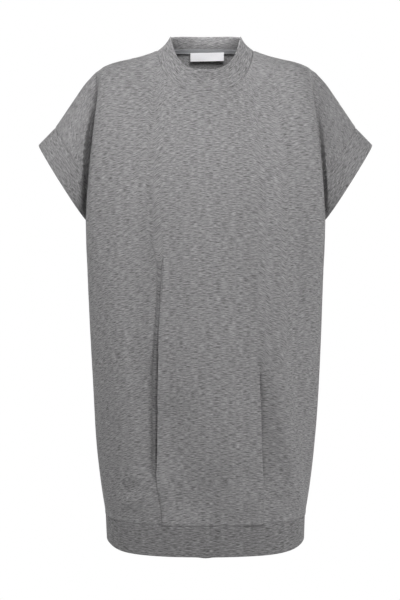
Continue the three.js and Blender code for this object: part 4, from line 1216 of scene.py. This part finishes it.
def knit_material(
    name, dark, light, sheen=0.12, streak=(13.0, 1.25), contrast=2.75, loop=(1.15, 0.9), relief=0.16
):
    """Heather knit: light and dark fibres, knitted loops with painted shade in the valleys between them, and
    a slightly uneven tone.
    """
    material, tree = new_material(name, roughness=0.92, sheen=sheen)
    pattern = flat_place(tree)
    place = put(tree, "ShaderNodeTexCoord").outputs["Object"]
    size = {"Streak_Length": streak[0] * MM, "Streak_Height": streak[1] * MM}
    fibres = put(tree, "ShaderNodeGroup", {"node_tree": heather}, Pattern=pattern, Contrast=contrast, **size)
    size = {"Column_Width": loop[0] * MM, "Row_Height": loop[1] * MM}
    knit = put(tree, "ShaderNodeGroup", {"node_tree": loops}, Pattern=pattern, **size)
    slow = put(tree, "ShaderNodeGroup", {"node_tree": tone}, Place=place, Scale=9.0, Amount=0.12)
    mixed = blend(tree, fibres.outputs["Shade"], dark, light)
    paler = tuple(min(part * FLECK["pale"], 1) for part in light)
    bright = blend(tree, times(tree, fibres.outputs["Fleck"], FLECK["share"]), mixed, paler)
    # painted shade: the colour is darkened in the valleys between the knitted loops, where shade would fall
    painted_valley_shade = sums(tree, "MULTIPLY_ADD", knit, LOOPS["shade"], LOOPS["painted_valley_shade"])
    factor = times(tree, slow, painted_valley_shade)
    dye(tree, put(tree, "ShaderNodeVectorMath", {"operation": "SCALE"}, at0=bright, Scale=factor).outputs[0])
    fuzz = noise(tree, place, scale=900.0, detail=2.0)
    height = sums(tree, "ADD", times(tree, knit, RELIEF["loops"]), times(tree, fuzz, RELIEF["fuzz"]))
    height = sums(tree, "MULTIPLY_ADD", fibres.outputs["Shade"], RELIEF["streaks"], height)
    emboss(tree, height, strength=0.55, distance=relief)
    return material


def tape_material():
    """Fine herringbone twill tape, pale and a little blue, with painted shade in the grooves between its ribs
    and painted light on their tops.
    """
    material, tree = new_material("neck tape twill", roughness=0.7, sheen=0.08)
    across, up = across_and_up(tree)
    zigzag = sums(tree, "PINGPONG", up, TWILL["bone"] * MM)
    along = times(tree, sums(tree, "ADD", across, zigzag), math.tau / (TWILL["rib"] * MM))
    ridges = sums(tree, "MULTIPLY_ADD", sums(tree, "SINE", along), 0.5, 0.5)
    # painted shade and light: the colour follows the ribs, darker in their grooves and paler on their tops
    dye(tree, blend(tree, ridges, grey(176, -0.03), grey(192, -0.03)))
    emboss(tree, ridges, strength=0.5, distance=0.12)
    return material


def label_material():
    """White satin-woven label, left bare."""
    material, tree = new_material("label satin", roughness=0.5, sheen=0.05)
    across, up = across_and_up(tree)
    ribs = sums(tree, "SINE", times(tree, up, math.tau / (SATIN["rib"] * MM)))
    long, close = times(tree, across, SATIN["threads_across"]), times(tree, up, SATIN["threads_up"])
    weave = noise(tree, put(tree, "ShaderNodeCombineXYZ", X=long, Y=close), scale=1.0, detail=1.0)
    dye(tree, blend(tree, weave, grey(226, -0.01), grey(250, -0.01)))
    emboss(tree, sums(tree, "MULTIPLY_ADD", ribs, 0.5, weave), strength=0.35, distance=0.06)
    return material


def thread_material(name, middle):
    """Twisted sewing thread."""
    material, tree = new_material(name, roughness=0.6, sheen=0.05)
    twist = noise(tree, put(tree, "ShaderNodeTexCoord").outputs["Object"], scale=1500.0, detail=1.0)
    dye(tree, blend(tree, twist, grey(middle - THREAD_SPREAD), grey(middle + THREAD_SPREAD)))
    return material


knit_outside = knit_material("sweatshirt knit", grey(96), grey(204))
knit_inside = knit_material(
    "sweatshirt knit inside", grey(104), grey(186),
    sheen=0.2, streak=(5.0, 1.6), contrast=2.4, loop=(1.6, 1.3), relief=0.35,
)
knit_doubled = knit_material("doubled knit", grey(94), grey(200))
# The hem band's knit is the doubled knit painted darker: painted shade over the whole band, which is the same
# cloth as the collar and cuffs.
knit_band_painted_shade = knit_material("doubled knit of the band with painted shade", grey(84), grey(190))
thread_grey = thread_material("grey thread", 158)
thread_white = thread_material("white thread", 214)
tape_twill = tape_material()
label_satin = label_material()

# ---- The pieces ----

front, front_skin, front_fields = build_panel("front_panel", -1, [knit_outside, knit_inside])
back, back_skin, back_fields = build_panel("back_panel", 1, [knit_outside, knit_inside])
collar = build_collar([knit_doubled])
cuffs = {
    side: build_cuff(name, side, [knit_doubled])
    for side, name in ((1, "cuff_left_doubled"), (-1, "cuff_right_doubled"))
}
band = build_band([knit_band_painted_shade])
tape, tape_face = build_tape([tape_twill])
label, label_face = build_label([label_satin])

# ---- Stitch rows ----


def seam_line(grid, distances):
    """The line over a grid's outside beside a seam, read along each of its rows."""
    line = []
    for points, away in zip(grid, distances):
        good = ~np.isnan(points[:, 0]) & (away < SEAM_NEAR)
        if good.sum() < LEAST_POINTS:
            continue
        away, points = away[good], points[good]
        order = np.argsort(away)
        if away[order[0]] <= TOPSTITCH:
            line.append([np.interp(TOPSTITCH, away[order], points[order, k]) for k in range(3)])
    return np.array(line)


def cuff_lines(skin, fields):
    """The lines beside a panel's two cuffs."""
    half = skin.shape[1] // 2
    return [seam_line(skin[:, pick], fields["cuff"][:, pick]) for pick in (slice(0, half), slice(half, None))]


def neck_line(skin, fields):
    """The line below the collar seam."""
    line = seam_line(turned(skin), fields["top"].T)
    return line[np.abs(line[:, 0]) < NECK_REACH]


def tuck_line(side):
    """The line of stitches that holds a tuck shut, from its foot down to the hem."""
    x, y, z = np.moveaxis(front_skin, -1, 0)
    line = []
    for level in np.arange(HEM_SEAM_Z + TUCK_STITCHES["clear"], TUCK_STITCHES["top"], TUCK_STITCHES["step"]):
        place = side * (tucks[side]["lip"](level) - TUCK_STITCHES["from_lip"])
        away = np.abs(x - place) + np.abs(z - level) + TUCK_NEAREST["forward"] * y
        best = np.argsort(np.where(np.isnan(x), np.inf, away), axis=None)[: TUCK_NEAREST["points"]]
        line.append((place, y.ravel()[best].min() - TUCK_STITCHES["proud"], level))
    return np.array(line)


panels = ((front_skin, front_fields), (back_skin, back_fields))
seam_rows = {
    "stitches_hem": [seam_line(turned(skin), fields["hem"].T) for skin, fields in panels],
    "stitches_neck": [neck_line(skin, fields) for skin, fields in panels],
    "stitches_cuffs": [line for skin, fields in panels for line in cuff_lines(skin, fields)],
    "stitches_tucks": [tuck_line(side) for side in (-1, 1)],
}
stitched = {name: sew(name, lines, thread_grey) for name, lines in seam_rows.items()}
stitched["stitches_tape"] = sew(
    "stitches_tape", [tape_face[:, 1], tape_face[:, -2]], thread_white, pitch=2.6, length=2.2, thickness=0.4
)
stitched["stitches_label"] = sew(
    "stitches_label", [label_face[1], label_face[-2]], thread_white, pitch=1.5, length=1.2, thickness=0.35
)

# ---- What each piece stands for ----

SLOTS = {
    front: ("front", "sweatshirt_knit"),
    back: ("back", "sweatshirt_knit"),
    collar: ("collar", "doubled_knit"),
    cuffs[1]: ("cuff_left", "doubled_knit"),
    cuffs[-1]: ("cuff_right", "doubled_knit"),
    band: ("hem_band", "doubled_knit"),
    tape: ("neck_tape", "neck_tape"),
    label: ("label", "label"),
}
for piece, (node, slot) in SLOTS.items():
    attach(piece, BODY)
    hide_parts(node)
for piece in stitched.values():
    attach(piece, BODY)

# ---- Studio ----

WHITE = (1.0, 1.0, 1.0, 1.0)
FLOOR = {"radius": 14.0, "z": -1.35, "sides": 96}
CAMERA = {"place": (0.0, -3.10, -0.2593), "tilt": 3.3, "lens": 105.6, "shift": -5.5 / 600}
CHEST = (0.0, 0.0, -0.35)
INSIDE_BACK_NECK = (0.0, 0.075, 0.01)


def stage_material(name):
    """A pale surround that shows as plain white and gives little light of its own."""
    material = bpy.data.materials.new(name)
    material.use_nodes = True
    tree = material.node_tree
    tree.nodes.remove(tree.nodes["Principled BSDF"])
    seen = put(tree, "ShaderNodeLightPath").outputs["Is Camera Ray"]
    glow = put(tree, "ShaderNodeEmission", Color=WHITE, Strength=1.0)
    matt = put(tree, "ShaderNodeBsdfDiffuse", Color=(0.8, 0.8, 0.8, 1))
    mix = put(tree, "ShaderNodeMixShader", Fac=seen, at1=matt, at2=glow)
    tree.links.new(mix.outputs[0], tree.nodes["Material Output"].inputs["Surface"])
    return material


def add_stage():
    """A wide pale floor, well below the hem."""
    radius, turns = FLOOR["radius"], [math.tau * k / FLOOR["sides"] for k in range(FLOOR["sides"])]
    mesh = bpy.data.meshes.new("floor")
    ring = [(radius * math.cos(turn), radius * math.sin(turn), FLOOR["z"]) for turn in turns]
    mesh.from_pydata(ring, [], [list(range(len(ring)))])
    mesh.materials.append(stage_material("pale floor"))
    add_object("floor", mesh)


def add_light(name, place, size, watts, aim=CHEST):
    data = bpy.data.lights.new(name, "AREA")
    data.shape, data.size, data.size_y = "RECTANGLE", size[0], size[1]
    data.energy = watts
    lamp = add_object(name, data)
    lamp.location = place
    lamp.visible_camera = False
    lamp.rotation_euler = (Vector(aim) - Vector(place)).to_track_quat("-Z", "Y").to_euler()


def add_world(seen, cast):
    """White all round: one brightness for what the camera sees, and a softer one for the light it gives."""
    world = bpy.data.worlds.new("studio white")
    bpy.context.scene.world = world
    world.use_nodes = True
    tree = world.node_tree
    path = put(tree, "ShaderNodeLightPath").outputs["Is Camera Ray"]
    mix = put(tree, "ShaderNodeMapRange", Value=path, To_Min=cast, To_Max=seen)
    tree.nodes["Background"].inputs["Color"].default_value = WHITE
    tree.links.new(mix.outputs["Result"], tree.nodes["Background"].inputs["Strength"])


def add_camera():
    data = bpy.data.cameras.new("camera")
    data.sensor_fit, data.sensor_height = "VERTICAL", 36.0
    data.lens, data.shift_x = CAMERA["lens"], CAMERA["shift"]
    camera = add_object("camera", data)
    camera.location = CAMERA["place"]
    camera.rotation_euler = (math.radians(90 - CAMERA["tilt"]), 0.0, 0.0)
    bpy.context.scene.camera = camera


add_stage()
add_world(seen=1.0, cast=0.02)
add_light("left", (-1.6, -1.0, 0.6), (0.8, 0.8), 7.8)
add_light("top left", (-1.2, -0.6, 0.9), (0.6, 0.6), 4.6)
add_light("middle", (0.15, -1.3, 0.65), (0.4, 0.4), 10.4)
add_light("front", (0.8, -3.2, 0.3), (1.6, 1.6), 11.5)
add_light("right", (2.7, -0.9, -0.3), (1.2, 1.8), 9.0)
add_light("right edge", (2.7, 0.0, -0.4), (1.0, 1.6), 13.0)
add_light("neck", (0.0, -0.03, 0.08), (0.12, 0.05), 0.08, INSIDE_BACK_NECK)
add_light("back left", (1.3, 2.2, 0.7), (1.0, 1.0), 26.0)
add_light("back right", (-1.9, 1.9, 0.3), (1.0, 1.0), 20.0)
add_camera()
bpy.context.scene.view_settings.view_transform = "Standard"
